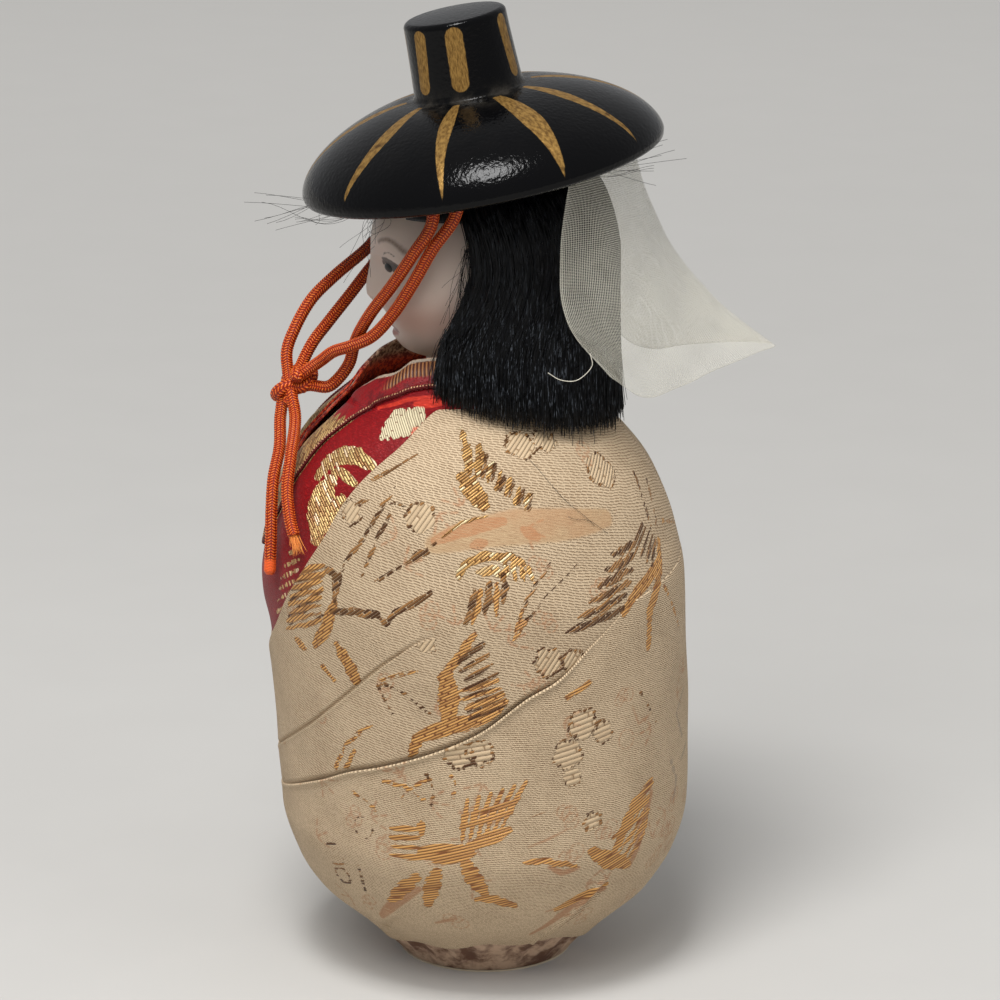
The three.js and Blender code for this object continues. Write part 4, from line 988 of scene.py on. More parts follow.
# cap, curtain, strands and loose hairs of the wig
def buildHair():
    random = np.random.default_rng(11)
    material = hairMaterial()
    # cap of hair over the crown down to the hairline
    within, without = hair["capOut"]
    turn = fullTurn(hair["columns"])
    share = shares(hair["rows"])
    height = hair["hairline"] + (hair["top"] - hair["hairline"]) * np.sin(np.pi / 2 * share)
    outer = hairSurface(turn[None, :], height[:, None] - 0.002 * share[:, None], without)
    inner = hairSurface(turn[None, :], height[:14][::-1, None], within)
    cap = gridMesh("hairCap", np.concatenate([inner, outer]), "head_body", material, roundColumns=True,
                   slot="hair")
    # curtain: outer and inner faces between the face edges, from the hairline to the blunt end
    share = shares(hair["columns"])[None, :]
    drop = shares(hair["rows"])[:, None]
    level = hair["curtainTop"] + (hairTip(share) + 0.5 - hair["curtainTop"]) * drop
    around = hairTurn(share, level)
    inner, outer = (hairSurface(around, level, out) for out in hair["curtainOut"])
    loop = np.concatenate([outer, inner[::-1]])
    curtain = gridMesh("hairCurtain", loop, "head_body", material, roundRows=True, slot="hair")
    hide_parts("hair_bob")
    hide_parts("hair_bob")
    # strands: lie on the curtain, drift a little sideways and end in a slightly frayed line
    count, steps = hair["strands"], hair["steps"]
    each = (count, 1)
    share = np.sort(random.uniform(-0.012, 1.012, count))[:, None]
    along = shares(steps)[None, :]
    rooted = random.uniform(*hair["rooted"], each)
    length = random.normal(0, 0.8, each)
    stray = random.uniform(0, 1, each) < 0.08
    tipHeight = hairTip(share) + length + 1.6 * stray * random.normal(0, 1, each)
    level = rooted + (tipHeight - rooted) * along
    drift = random.normal(0, 0.035, each) * along**2
    drift = drift + 0.012 * np.sin(along * random.uniform(3, 9, each) + random.uniform(0, 6, each))
    lift = random.uniform(-0.5, 0.45, each) + 0.5 * along**4 * random.normal(0.1, 1, each)
    paths = hairSurface(hairTurn(share, level) + drift, level, lift)
    radius = random.uniform(*hair["radius"], each) * (1 - 0.45 * along**3)
    half = count // 2
    for name, part in (("hairStrandsLeft", slice(0, half)), ("hairStrandsRight", slice(half, count))):
        piece = strandMesh(name, paths[part], radius[part], "head_body", material, "hair")
        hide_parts("hair_bob")
    loose = []
    for root, sweep, many, spread in hair["tufts"]:
        origin = np.array(root) + random.normal(0, spread * 0.5, (many, 3)) * np.array([1, 0.3, 0.25])
        aim = np.array(sweep) * random.uniform(0.5, 1.1, (many, 1))
        aim = aim + random.normal(0, spread * 0.6, (many, 3))
        curl = random.normal(0, spread * 0.35, (many, 3))
        t = shares(steps)[None, :, None]
        loose.append(origin[:, None] + aim[:, None] * t + curl[:, None] * np.sin(np.pi * t * 1.4))
    for first, last in hair["lain"]:
        lain = np.linspace(first, last, steps)
        loose.append(robePoint(lain[:, 0], lain[:, 1] + 0.5 * np.sin(lain[:, 0] / 2), 0.2)[None])
    paths = np.concatenate(loose)
    radius = np.full(paths.shape[:2], hair["looseRadius"])
    strandMesh("looseHairs", paths, radius, "head_body", material, "hair")
    print("hair", count, "strands,", len(paths), "loose")


buildHair()


# Brocade figures, placed by angle from the front and height in mm: a bar is a solid run of float threads, a
# dash a run broken into stitches, a fan a row of feathers from its first line to its last, a ring a dashed
# circle and a bloom a five-petalled blossom; the number is a half width or a radius in mm
upperFigures = [
    # pine needles by the shoulder
    ("dash", "brown", 0.3, [(70, 93.5), (63, 86.5), (54, 78.5)]),
    ("dash", "brown", 0.28, [(69, 89), (65, 84.5), (60, 77)]),
    ("dash", "brown", 0.28, [(83, 85), (76, 82), (65, 77.5)]),
    ("bar", "brown", 0.6, [(75, 81.5), (78, 83), (80, 83)]),
    ("dash", "brown", 0.26, [(76, 97.5), (68, 95.5), (61, 93.5)]),
    ("dash", "brown", 0.18, [(57, 90), (69, 90.5), (74, 90)]),
    # blossoms by the front edge
    ("bloom", "cream", 2.7, [(78, 88.5)]),
    ("bloom", "cream", 2.1, [(56, 88)]),
    # crane at the front: reeds, neck, body, wing and tail
    ("bar", "brown", 0.75, [(51, 71), (59, 72), (65, 72), (68, 70.5)]),
    ("bar", "brown", 0.6, [(68, 71), (70, 73), (75, 74.5), (80, 76.5)]),
    ("bar", "brown", 0.9, [(49, 78), (53, 77), (52, 73)]),
    ("bar", "gold", 1.2, [(52, 73), (49, 68), (43, 64)]),
    ("fan", "gold", 0.5, [(48, 78.5), (37, 76)], [(47, 69), (30, 64.5)], 8),
    ("fan", "brown", 0.14, [(48, 78), (36, 75.5)], [(48, 70), (31, 65.5)], 7),
    ("bar", "gold", 1.4, [(52, 65), (55, 62), (57, 59)]),
    ("bar", "gold", 0.85, [(35, 63.5), (39, 62.5)]),
    ("bar", "gold", 0.6, [(45, 60.5), (49, 58.5)]),
    # gilt crane under the hair
    ("bar", "gilt", 0.75, [(93, 101), (94, 98.5), (94, 95)]),
    ("bar", "gilt", 0.65, [(99, 99), (98, 97), (96, 95)]),
    ("bar", "gilt", 1.8, [(91.5, 94.5), (94, 93), (97, 90.5)]),
    ("fan", "gilt", 0.5, [(97, 95), (100, 98)], [(109, 89.5), (112, 91.5)], 6),
    ("fan", "brown", 0.36, [(98, 94.5), (101, 97.5)], [(110, 89.5), (113, 91.5)], 6),
    # ribbon of peach silk
    ("bar", "satin", 3.0, [(82, 84.5), (95, 86.5), (107, 87), (119, 86.5), (135, 86)]),
    ("bar", "peach", 1.3, [(82, 85), (88, 86.5), (95, 87.5), (102, 88)]),
    ("bar", "gilt", 0.3, [(84, 85.5), (90, 88), (98, 89)]),
    ("bar", "peach", 1.0, [(92.5, 84.3), (96, 84.8)]),
    ("bar", "peach", 1.1, [(107.5, 86.5), (111, 85)]),
    # gilt crane in the middle: crest, back and legs
    ("bar", "gilt", 0.85, [(88, 79), (90, 81.5), (96, 82.5), (102, 82.5), (106, 81)]),
    ("bar", "gilt", 0.85, [(93, 80), (97, 80.5), (100, 79.5)]),
    ("fan", "gilt", 0.45, [(101, 81.5), (100.5, 79)], [(107, 80.5), (108, 78)], 4),
    ("fan", "brown", 0.6, [(92, 77), (91, 74.5), (89, 71.5)], [(100, 79.5), (100, 77.5), (99, 75)], 3),
    ("fan", "gold", 0.5, [(93.5, 77), (92.5, 74.5), (90.5, 71.5)], [(98, 78), (97.5, 76), (97, 73)], 2),
    # pine needles in the middle
    ("dash", "brown", 0.25, [(114, 81), (107, 76.5), (104, 73.5)]),
    ("dash", "brown", 0.25, [(122, 80), (111, 75.5), (105, 72)]),
    ("bar", "gold", 0.32, [(104, 73.5), (102, 70), (101, 68.5)]),
    ("bar", "gold", 0.32, [(105, 72), (102, 69)]),
    # blossoms at the back
    ("bloom", "cream", 3.3, [(142, 93)]),
    ("bloom", "cream", 2.7, [(115, 98.5)]),
    ("bloom", "cream", 2.2, [(126, 98.5)]),
]
backFigures = [
    # crane where the wrap runs into the robe: body, tail, wing and needles
    ("bar", "gold", 1.1, [(134, 70), (140, 73), (153, 76)]),
    ("bar", "gold", 0.9, [(143.5, 62), (145, 69), (152, 74), (157, 79)]),
    ("fan", "brown", 0.7, [(134, 80), (144, 80.8)], [(116, 69), (134, 71)], 6),
    ("fan", "brown", 0.4, [(141, 80), (150, 83)], [(149, 76), (155, 79.5)], 5),
    ("dash", "brown", 0.22, [(158, 91), (155, 86.5), (154, 81.5)]),
    ("dash", "brown", 0.22, [(164, 89), (161, 85.5), (158, 81.5)]),
    ("dash", "gold", 0.28, [(153, 72), (158, 67.5), (162, 63)]),
    ("dash", "gold", 0.28, [(163, 81.5), (168, 80.5), (178, 78.5)]),
]
bandFigures = [
    # crane between the folds: neck, body, legs and wing
    ("bar", "gold", 0.75, [(91, 70), (86, 65), (81, 62)]),
    ("bar", "gold", 1.8, [(83, 62.5), (83, 58), (82, 54.5)]),
    ("bar", "gold", 1.2, [(82, 54), (88, 54), (96, 56)]),
    ("bar", "gold", 1.2, [(73, 50.5), (80, 52.5), (87, 53)]),
    ("bar", "gold", 0.85, [(71, 47), (74, 50.5)]),
    ("fan", "brown", 0.5, [(86, 64.5), (93, 68)], [(88, 60), (96, 62.5)], 4),
    ("fan", "gold", 0.5, [(86, 59.5), (96, 61.5)], [(88, 55), (98, 57.5)], 4),
    ("fan", "brown", 0.2, [(87, 58.5), (97, 60.5)], [(88, 54.5), (98, 57)], 4),
    # needles and blossoms beside it
    ("dash", "brown", 0.2, [(64, 60), (71, 58.5), (78, 55)]),
    ("dash", "brown", 0.2, [(63, 60), (65, 57), (67, 54.5)]),
    ("dash", "gold", 0.23, [(64, 60), (69, 61.5), (75, 63)]),
    ("dash", "gold", 0.3, [(46, 42), (51, 47), (60, 52)]),
    ("dash", "gold", 0.28, [(50, 42.5), (54, 46.5)]),
    ("bloom", "cream", 2.0, [(78, 68)]),
    ("bloom", "cream", 2.6, [(110, 64)]),
    ("bloom", "cream", 2.2, [(117, 63.5)]),
    ("dash", "gold", 0.28, [(121, 59), (129, 64), (140, 66)]),
    ("dash", "gold", 0.28, [(140, 64.5), (145, 67), (147, 70.5)]),
]
skirtFigures = [
    # blossoms
    ("bloom", "cream", 2.6, [(84.5, 48)]),
    ("bloom", "cream", 2.4, [(90, 48.5)]),
    ("bloom", "cream", 2.9, [(119, 52)]),
    ("bloom", "cream", 2.8, [(114, 47)]),
    ("bloom", "cream", 2.1, [(125, 50)]),
    ("bloom", "cream", 1.8, [(115, 43)]),
    ("bloom", "cream", 1.8, [(121, 34)]),
    # great crane: body, head, tail, wing and legs
    ("bar", "gold", 2.0, [(73, 30), (79, 30), (86, 30.5)]),
    ("bar", "gold", 1.3, [(85, 31), (91, 33), (97, 34.5)]),
    ("fan", "gold", 0.6, [(64, 33.5), (72, 34)], [(63, 28.5), (73, 29)], 4),
    ("bar", "gold", 0.8, [(73, 35.5), (73, 33.5)]),
    ("fan", "gold", 0.62, [(84, 32), (85, 36.5), (86, 40)], [(95, 35), (98, 39), (102, 43)], 6),
    ("bar", "gold", 1.4, [(77, 26.5), (75, 23), (73, 19.5)]),
    ("bar", "gold", 1.2, [(71, 25), (66, 22), (61, 19)]),
    ("bar", "peach", 1.1, [(71, 22.5), (63, 19), (54, 14.5)]),
    ("bar", "gold", 1.5, [(85, 28.5), (87, 25.5), (90, 22.5)]),
    ("bar", "gold", 0.9, [(88, 21), (93, 21), (99, 19.5)]),
    # crane at the back
    ("bar", "gold", 1.2, [(143, 38), (136, 35), (132, 31.5), (129, 27.5)]),
    ("fan", "gold", 0.42, [(142, 38), (134, 33), (128, 30)], [(142, 33), (140, 29), (133, 24)], 5),
    ("bar", "peach", 1.0, [(143, 36), (139, 30.5), (136, 23.5)]),
    ("bar", "gold", 1.6, [(121, 28.5), (127, 26), (135, 24)]),
    ("bar", "gold", 0.6, [(101, 28.5), (108, 28), (116, 26.5)]),
    ("bar", "peach", 0.6, [(108, 27), (112, 25.5), (117, 26)]),
    ("bar", "gold", 0.9, [(128, 21), (120, 19.5), (112, 17.5)]),
    ("bar", "peach", 0.8, [(128, 20), (118, 18), (107, 11.5)]),
    # stems, rings and needles between them
    ("bar", "gold", 0.22, [(98, 35.5), (106, 37), (114, 37.5), (123, 40)]),
    ("bar", "peach", 0.22, [(102, 31), (107, 32), (113, 33.5)]),
    ("bar", "peach", 0.4, [(74, 15), (81, 16.5)]),
    ("dash", "gold", 0.28, [(62, 42), (69, 41.5), (74, 39.5)]),
    ("dash", "gold", 0.26, [(67, 39), (70, 41), (76, 43.5)]),
    ("dash", "brown", 0.2, [(75, 44.5), (77, 41.5), (76, 38.5)]),
    ("dash", "gold", 0.24, [(82, 40), (83, 43), (82, 44)]),
    ("dash", "gold", 0.35, [(114, 57), (119, 58.5), (122, 59.5)]),
    ("dash", "brown", 0.18, [(139, 55.5), (142, 52.5), (146, 48.5)]),
    ("dash", "gold", 0.3, [(52, 38.5), (57, 37.5), (60, 36)]),
    ("dash", "brown", 0.16, [(52, 25), (52, 19.5)]),
    ("ring", "brown", 1.9, [(55, 32.5)]),
    ("ring", "brown", 2.1, [(43, 25.5)]),
    ("ring", "brown", 1.7, [(44, 21.5)]),
    ("ring", "peach", 1.7, [(133, 47.5)]),
    ("bar", "peach", 0.22, [(136, 53), (138, 49.5), (144, 50.5)]),
    ("bar", "grey", 0.45, [(168, 50), (159, 47.5), (164, 42)]),
    ("bar", "grey", 0.42, [(154, 40), (158, 35.5), (155, 32)]),
    ("bar", "grey", 0.28, [(169, 40), (162, 38)]),
]
redFigures = [
    # great gilt flower over the breast: a broad petal, an arched one over it and a small one between
    ("bar", "gilt", 2.9, [(42.5, 82.5), (42.2, 86.6), (42.8, 89.5), (44.2, 91.8)]),
    ("bar", "gilt", 2.1, [(47.5, 84.5), (48.5, 87.5), (50, 89.5)]),
    ("bar", "gilt", 1.8, [(38.2, 92.2), (40.2, 94.6), (45, 96.2), (51.5, 96.4), (58.5, 95.7)]),
    ("bar", "gilt", 0.9, [(44.5, 93.8), (49.8, 93.3), (54, 92.6)]),
    # silver block by the hair, with a bright spot and bright floats above it
    ("fan", "cream", 0.9, [(59, 99.4), (60.5, 103.2)], [(72, 100.8), (74.5, 104)], 7),
    ("bar", "peach", 0.9, [(72, 100.7), (74, 101.2)]),
    ("bar", "peach", 0.5, [(49.5, 103.2), (58.8, 104.2), (66.2, 105.2), (80, 106)]),
    ("bar", "peach", 1.1, [(71.5, 104.6), (78.2, 104.9), (84, 105)]),
    # slanting threads low on the breast
    ("fan", "gilt", 0.22, [(30, 78), (37, 80)], [(14, 58), (30, 64)], 9),
]
threads = ("satin", "peach", "cream", "gold", "gilt", "brown", "grey")
weaving = {  # mm, and shares of a blossom's size
    "far": 6.0, "ringHalf": 0.17, "outlineHalf": 0.2, "gap": 0.2, "dash": 1.9, "dashHalf": 0.68,
    "petalReach": 0.52, "petalRadius": 0.5,
}


# each feather of a fan as a bar of its own, set evenly between the first line and the last
def spreadFans(figures):
    for shape, thread, size, first, *rest in figures:
        if shape != "fan":
            yield shape, thread, size, np.array(first, float)
            continue
        last, count = rest
        for share in shares(count):
            yield "bar", thread, size, np.array(first) * (1 - share) + np.array(last) * share


# faint figures strewn over a cloth: dashed petal outlines in threes and sprigs of three curved needles
def strewnFigures(seed, count, lowest, highest):
    random = np.random.default_rng(seed)
    for number in range(count):
        angle, height = random.uniform(2, 178), random.uniform(lowest, highest)
        lean = random.uniform(0, 2 * np.pi)
        for spread in (-0.9, 0, 0.9):
            across, up = np.cos(lean + spread), np.sin(lean + spread)
            if number % 2:
                yield "ring", "peach", random.uniform(0.9, 1.5), [(angle + 2.4 * across, height + 1.5 * up)]
            else:
                way = [(angle, height), (angle + 3 * across, height + 1.9 * up),
                       (angle + 6.6 * across, height + 3.4 * up)]
                yield "dash", "peach", 0.2, way


# distance in mm from cloth points to each thread's figures, below zero inside them: bars are chains of
# capsules that narrow towards their ends, dashes are broken into stitches, and a bloom is five discs round a
# centre
def threadFields(angle, height, figures):
    fields = {thread: np.full(angle.shape, weaving["far"]) for thread in threads}
    meridian = bodyMould.length(height)
    lower = lambda thread, values: np.minimum(fields[thread], values, out=fields[thread])
    for shape, thread, size, places in spreadFans(figures):
        scale = np.radians(bodyMould.radius(places[:, 1].mean()))
        px = (places[:, 0] - places[0, 0]) * scale
        py = bodyMould.length(places[:, 1]) - bodyMould.length(places[0, 1])
        x = (angle - places[0, 0]) * scale
        y = meridian - bodyMould.length(places[0, 1])
        if shape in ("ring", "bloom"):
            turn, reach = np.arctan2(y, x), np.hypot(x, y)
            gaps = np.maximum(np.sin(turn * round(size * 6)), 0) * weaving["gap"]
            if shape == "ring":
                lower(thread, np.abs(reach - size) - weaving["ringHalf"] + gaps)
                continue
            petal = (np.arange(5) * 0.4 + 0.1 * size) * np.pi
            out, radius = weaving["petalReach"] * size, weaving["petalRadius"] * size
            discs = [np.hypot(x - out * np.cos(a), y - out * np.sin(a)) - radius for a in petal]
            joined = np.minimum(np.min(discs, axis=0), reach - radius)
            lower(thread, joined)
            lower("brown", np.abs(joined) - weaving["outlineHalf"] + 1.5 * gaps)
            continue
        steps = np.hypot(np.diff(px), np.diff(py))
        run = 0.0
        for k, length in enumerate(steps):
            dx, dy = px[k + 1] - px[k], py[k + 1] - py[k]
            near = np.clip(((x - px[k]) * dx + (y - py[k]) * dy) / length**2, 0, 1)
            along = run + near * length
            away = np.hypot(x - px[k] - near * dx, y - py[k] - near * dy)
            if shape == "dash":
                past = np.abs((along / weaving["dash"]) % 1.0 - 0.5) * weaving["dash"] - weaving["dashHalf"]
                away = np.maximum(away - size, past)
            else:
                away = away - size * (0.35 + 0.65 * np.sin(np.pi * (0.1 + 0.8 * along / steps.sum())))
            lower(thread, away)
            run += length
    return fields


# in these tones streak is painted sheen, lip a painted highlight on folded edges, spark a painted glint and
# shadow painted shadow in folds; the float threads' shade colours are painted shade on their flanks, mixed
# with random tone
creamCloth = {
    "ground": (217, 193, 160), "groundShade": (126, 96, 66), "satin": (190, 162, 124),
    "satinShade": (164, 130, 96),
    "peach": (176, 122, 84), "cream": (202, 177, 143), "creamShade": (142, 112, 80), "gold": (220, 166, 98),
    "goldShade": (136, 88, 52), "gilt": (226, 178, 112), "giltShade": (120, 74, 40), "paintedSpark": (252, 232, 186),
    "brown": (160, 114, 66), "brownShade": (84, 54, 30), "grey": (140, 126, 112), "lip": (218, 196, 162),
    "streak": (220, 200, 168), "paintedSheenShare": 0.2, "shadow": (112, 84, 58), "roughness": 0.72,
}
redCloth = {
    "ground": (140, 10, 18), "groundShade": (80, 4, 10), "satin": (206, 44, 34), "satinShade": (170, 30, 28),
    "peach": (232, 66, 44), "cream": (232, 220, 182), "creamShade": (104, 68, 48), "gold": (222, 166, 92),
    "goldShade": (150, 100, 52), "gilt": (232, 200, 136), "giltShade": (140, 76, 42),
    "paintedSpark": (255, 226, 186),
    "brown": (172, 128, 74), "brownShade": (88, 58, 30), "grey": (140, 126, 112), "lip": (150, 20, 22),
    "streak": (196, 40, 38), "paintedSheenShare": 0.7, "shadow": (64, 4, 10), "roughness": 0.48,
}


# brocade: a ground of broken rows of dark ticks painted as shade between the yarns, with streaks of painted
# sheen, figures in raised float threads whose ends step from row to row, painted lighter on their crests,
# smooth satin patches, a pale folded lip painted as highlight and painted shadow in the folds; pitches and
# lengths are in centimetres, as the UV maps are
def brocadeMaterial(name, tones, cloth):
    paint = startMaterial(name)
    times, plus, mix, step, field = paint.times, paint.plus, paint.mix, paint.step, paint.field
    place, weave = paint.place(), paint.uv("weave")
    sway = paint.node("ShaderNodeTexNoise", {"Vector": weave, "Scale": 2.2, "Detail": 2.0}).outputs["Color"]
    sway = paint.node("ShaderNodeVectorMath", {0: sway, 1: (0.5, 0.5, 0.5)}, operation="SUBTRACT").outputs[0]
    sway = paint.node("ShaderNodeVectorMath", {0: sway, "Scale": 0.08}, operation="SCALE").outputs[0]
    swayed = paint.node("ShaderNodeVectorMath", {0: weave, 1: sway}, operation="ADD").outputs[0]
    *rows, depth = cloth["ground"]
    tick, tickTone = paint.tickRows(swayed, *rows)
    thread, threadTone, rowTone = paint.threadRows(paint.uv("floats"), *cloth["floats"])
    *stitch, turn = cloth["petals"]
    petal, petalTone = paint.threadRows(paint.stretch(weave, (1, 1, 1), (0, 0, -turn)), *stitch)[:2]
    ragged = times(paint.minus(rowTone, 0.5), 0.5)
    inside = {key: step(plus(field(key), ragged), 0.07, -0.07) for key in threads}
    tint, fuzz = paint.noise(place, 95.0, 3.0, 0.55), paint.noise(place, 4200.0, 2.0, 0.6)
    streak = paint.noise(paint.stretch(weave, (5, 80, 1)), 1.0, 3.0, 0.6)
    # painted shade: dark ticks in the gaps between yarns, plus random darker patches
    gap = times(tick, step(tickTone, -0.7, 0.8, 0.0, depth))
    worn = plus(step(tint, 0.4, 0.75, 0.0, 0.14), step(fuzz, 0.45, 0.8, 0.0, 0.24))
    # painted sheen: lighter streaks across the ground; the satin below is streaked lighter and darker the
    # same way
    pale = times(step(streak, 0.5, 0.75), tones["paintedSheenShare"])
    look = mix(pale, tones["ground"], tones["streak"])
    look = mix(paint.maths("MINIMUM", plus(gap, worn), 1.0), look, tones["groundShade"])
    silk = mix(step(streak, 0.35, 0.65), tones["satin"], tones["satinShade"])
    silk = mix(step(tint, 0.45, 0.65, 0.0, 0.3), silk, tones["peach"])
    look = mix(times(step(plus(field("satin"), streak), 0.9, 0.1), 0.85), look, silk)
    # painted shading on the cream floats: lighter on their crests
    sheen = times(step(petal, 0.0, 0.5), step(petalTone, -1.2, 0.6))
    pad = mix(sheen, tones["creamShade"], tones["cream"])
    look = mix(times(inside["cream"], 0.92), look, pad)
    dab = times(step(field("peach"), 0.2, -0.2), step(streak, 0.3, 0.6, 0.35, 0.8))
    look = mix(dab, look, tones["peach"])
    # painted highlights: gold and gilt threads lighter on their crests, the gilt with bright painted glints
    glint = times(step(thread, 0.3, 0.95), step(threadTone, -0.8, 0.8))
    look = mix(inside["gold"], look, mix(glint, tones["goldShade"], tones["gold"]))
    glitter = times(step(thread, 0.1, 0.7), step(threadTone, -0.4, 0.8))
    metalThread = mix(glitter, tones["giltShade"], tones["gilt"])
    metalThread = mix(times(glitter, step(threadTone, 0.82, 0.95)), metalThread, tones["paintedSpark"])
    look = mix(inside["gilt"], look, metalThread)
    brown = times(inside["brown"], step(thread, 0.05, 0.45))
    brownThread = mix(step(threadTone, 0.25, 1.0), tones["brownShade"], tones["brown"])
    look = mix(brown, look, brownThread)
    look = mix(times(inside["grey"], 0.45), look, tones["grey"])
    # painted highlight along folded lips, then painted shadow in the folds
    look = mix(times(field("lip"), step(fuzz, 0.2, 0.6, 0.5, 0.9)), look, tones["lip"])
    look = mix(field("shade"), look, tones["shadow"])
    metal = paint.most(times(inside["gilt"], 0.6), times(inside["gold"], 0.2))
    metal = paint.most(metal, times(brown, 0.15))
    raised = paint.most(paint.most(inside["gold"], inside["gilt"]), brown)
    height = paint.blend(times(inside["satin"], 0.85), paint.minus(1.0, times(tick, depth)), 0.85)
    height = paint.blend(inside["cream"], height, plus(0.4, times(petal, 1.1)))
    height = paint.blend(raised, height, plus(0.4, plus(thread, times(threadTone, 0.35))))
    height = plus(height, times(fuzz, 0.35))
    rough = paint.blend(paint.most(raised, inside["cream"]), tones["roughness"], 0.42)
    return paint.finish(Base_Color=look, Roughness=rough, Metallic=metal,
                        Normal=paint.bump(height, 1.0, 0.00022), Specular_IOR_Level=0.3)


# one sheet of cloth laid on a mould: heights and offsets by row and column, an outer face, rolled edges at
# the top and bottom, and an inner face of fewer rows
def clothPiece(name, angles, height, offset, material, slot, figuresFor, floatTurn, weaveTurn=0.0,
               roundColumns=False, extra=None, mould=None):
    mould = mould or bodyMould
    thickness = robe["thickness"]
    rows = len(height)
    angle = np.broadcast_to(angles[None, :], height.shape)
    innerRows = np.unique(np.linspace(0, rows - 1, 26).astype(int))[::-1]

    def rolledEdge(row, sign):  # half circle from the outer face to the inner one, past the edge
        roll = np.radians([[45], [90], [135]])
        lift = height[row] + sign * thickness / 2 * np.sin(roll)
        return robePoint(angles, lift, offset[row] - thickness / 2 * (1 - np.cos(roll)), mould)

    outer = robePoint(angle, height, offset, mould)
    inner = robePoint(angle[innerRows], height[innerRows], offset[innerRows] - thickness, mould)
    grid = np.concatenate([outer, rolledEdge(rows - 1, -1), inner, rolledEdge(0, 1)[::-1]])
    source = np.concatenate([np.arange(rows), [rows - 1] * 3, innerRows, [0] * 3])
    motifAngle = np.where(angle < 0, angle + 180, angle)
    fields = {key: values[source] for key, values in figuresFor(motifAngle, height).items()}
    for key, values in {"lip": 0.0, "shade": 0.0, **(extra or {})}.items():
        fields[key] = np.broadcast_to(values, height.shape)[source]
    fields["back"] = np.broadcast_to(np.arange(len(source))[:, None] >= rows + 2, grid.shape[:2]) * 1.0
    closed = lambda values: np.concatenate([values, values[:, :1]], 1) if roundColumns else values
    closedAngles = np.append(angles, angles[0] + 360) if roundColumns else angles
    wide, twist = closed(height), closed(floatTurn)
    u = np.radians(closedAngles[None, :] - 90) * mould.radius(wide) / 10
    v = mould.length(wide) / 10
    spin = lambda turn: together(u * np.cos(turn) + v * np.sin(turn), v * np.cos(turn) - u * np.sin(turn))
    full = np.append(source, source[0])
    maps = {"weave": spin(np.radians(weaveTurn))[full], "floats": spin(np.radians(twist))[full]}
    piece = gridMesh(name, grid, "doll_body", material, roundRows=True, roundColumns=roundColumns, maps=maps,
                     fields=fields, slot=slot)
    turned = np.radians(closedAngles)
    area = np.trapz(np.trapz(mould.radius(wide), -mould.length(wide), axis=0), turned) * metre**2
    across = (turned[-1] - turned[0]) * mould.radius(height).max() * metre
    tallest = (mould.length(height[0]) - mould.length(height[-1])).max() * metre
    down = max(min(tallest, area / across / 0.5), 0.01)  # a slanting band is cut as a narrower strip
    print("cloth", name, grid.shape[:2], "flat", np.round((across, down), 4), "area", round(float(area), 5))
    return piece


# slow unevenness of cloth over the stuffed body: a few sines round and up it
def unevenness(angle, height, amount):
    a, h = np.radians(angle), height / 10
    slow = np.sin(5 * a + 1.3 * h) * np.sin(0.9 * h + 1)
    return amount * (slow + 0.6 * np.sin(9 * a - 2.1 * h + 2) + 0.4 * np.sin(17 * a + 3.7 * h))


# crease: a dip along a line of cloth and a low ridge beside it
def crease(angle, height, start, end, depth, half):
    scale = np.radians(bodyMould.radius(np.array(start[1])))
    x, y = (angle - start[0]) * scale, height - start[1]
    dx, dy = (end[0] - start[0]) * scale, end[1] - start[1]
    t = np.clip((x * dx + y * dy) / (dx * dx + dy * dy), 0, 1)
    side = (x * dy - y * dx) / np.hypot(dx, dy)
    away = np.hypot(x - t * dx, y - t * dy)
    ridge = np.exp(-((side - 2 * half) / (1.4 * half)) ** 2 - (np.maximum(away - 2 * half, 0) / half) ** 2)
    return -depth * np.exp(-((away / half) ** 2)) + 0.6 * depth * ridge


def levelRows(*stretches):  # stretches of (upper, lower, rows) joined end to end
    parts = [upper + (lower - upper) * np.linspace(0, 1, count, endpoint=False)[:, None]
             for upper, lower, count in stretches]
    return np.concatenate([*parts, stretches[-1][1][None, :]])


def ringAngles(start, middle, near, away):  # all round, close together from start to middle
    angles = np.concatenate([np.linspace(start, middle, near), np.linspace(middle, start + 360, away)[1:-1]])
    return np.sort((angles + 180) % 360 - 180)


noFigures = lambda angle, height: {}
skirt = {"hem": 7.4, "hemWave": 1.2, "lip": 0.4, "puff": 0.10, "ground": (0.034, 0.075, -0.25, 0.41, 0.8),
         "floats": (0.052, 2.6), "petals": (0.09, 0.8, np.radians(14)), "turn": 16, "weaveTurn": -4,
         "columns": (-8, 188, 430, 130),  # start and end of the close ones, how many, and how many elsewhere
         "creases": [((127, 20.5), (113, 9), 0.9, 0.7), ((60, 14), (48, 10), 0.5, 0.8)],
         "strewn": (5, 60, 14, 56)}  # seed, how many, lowest and highest


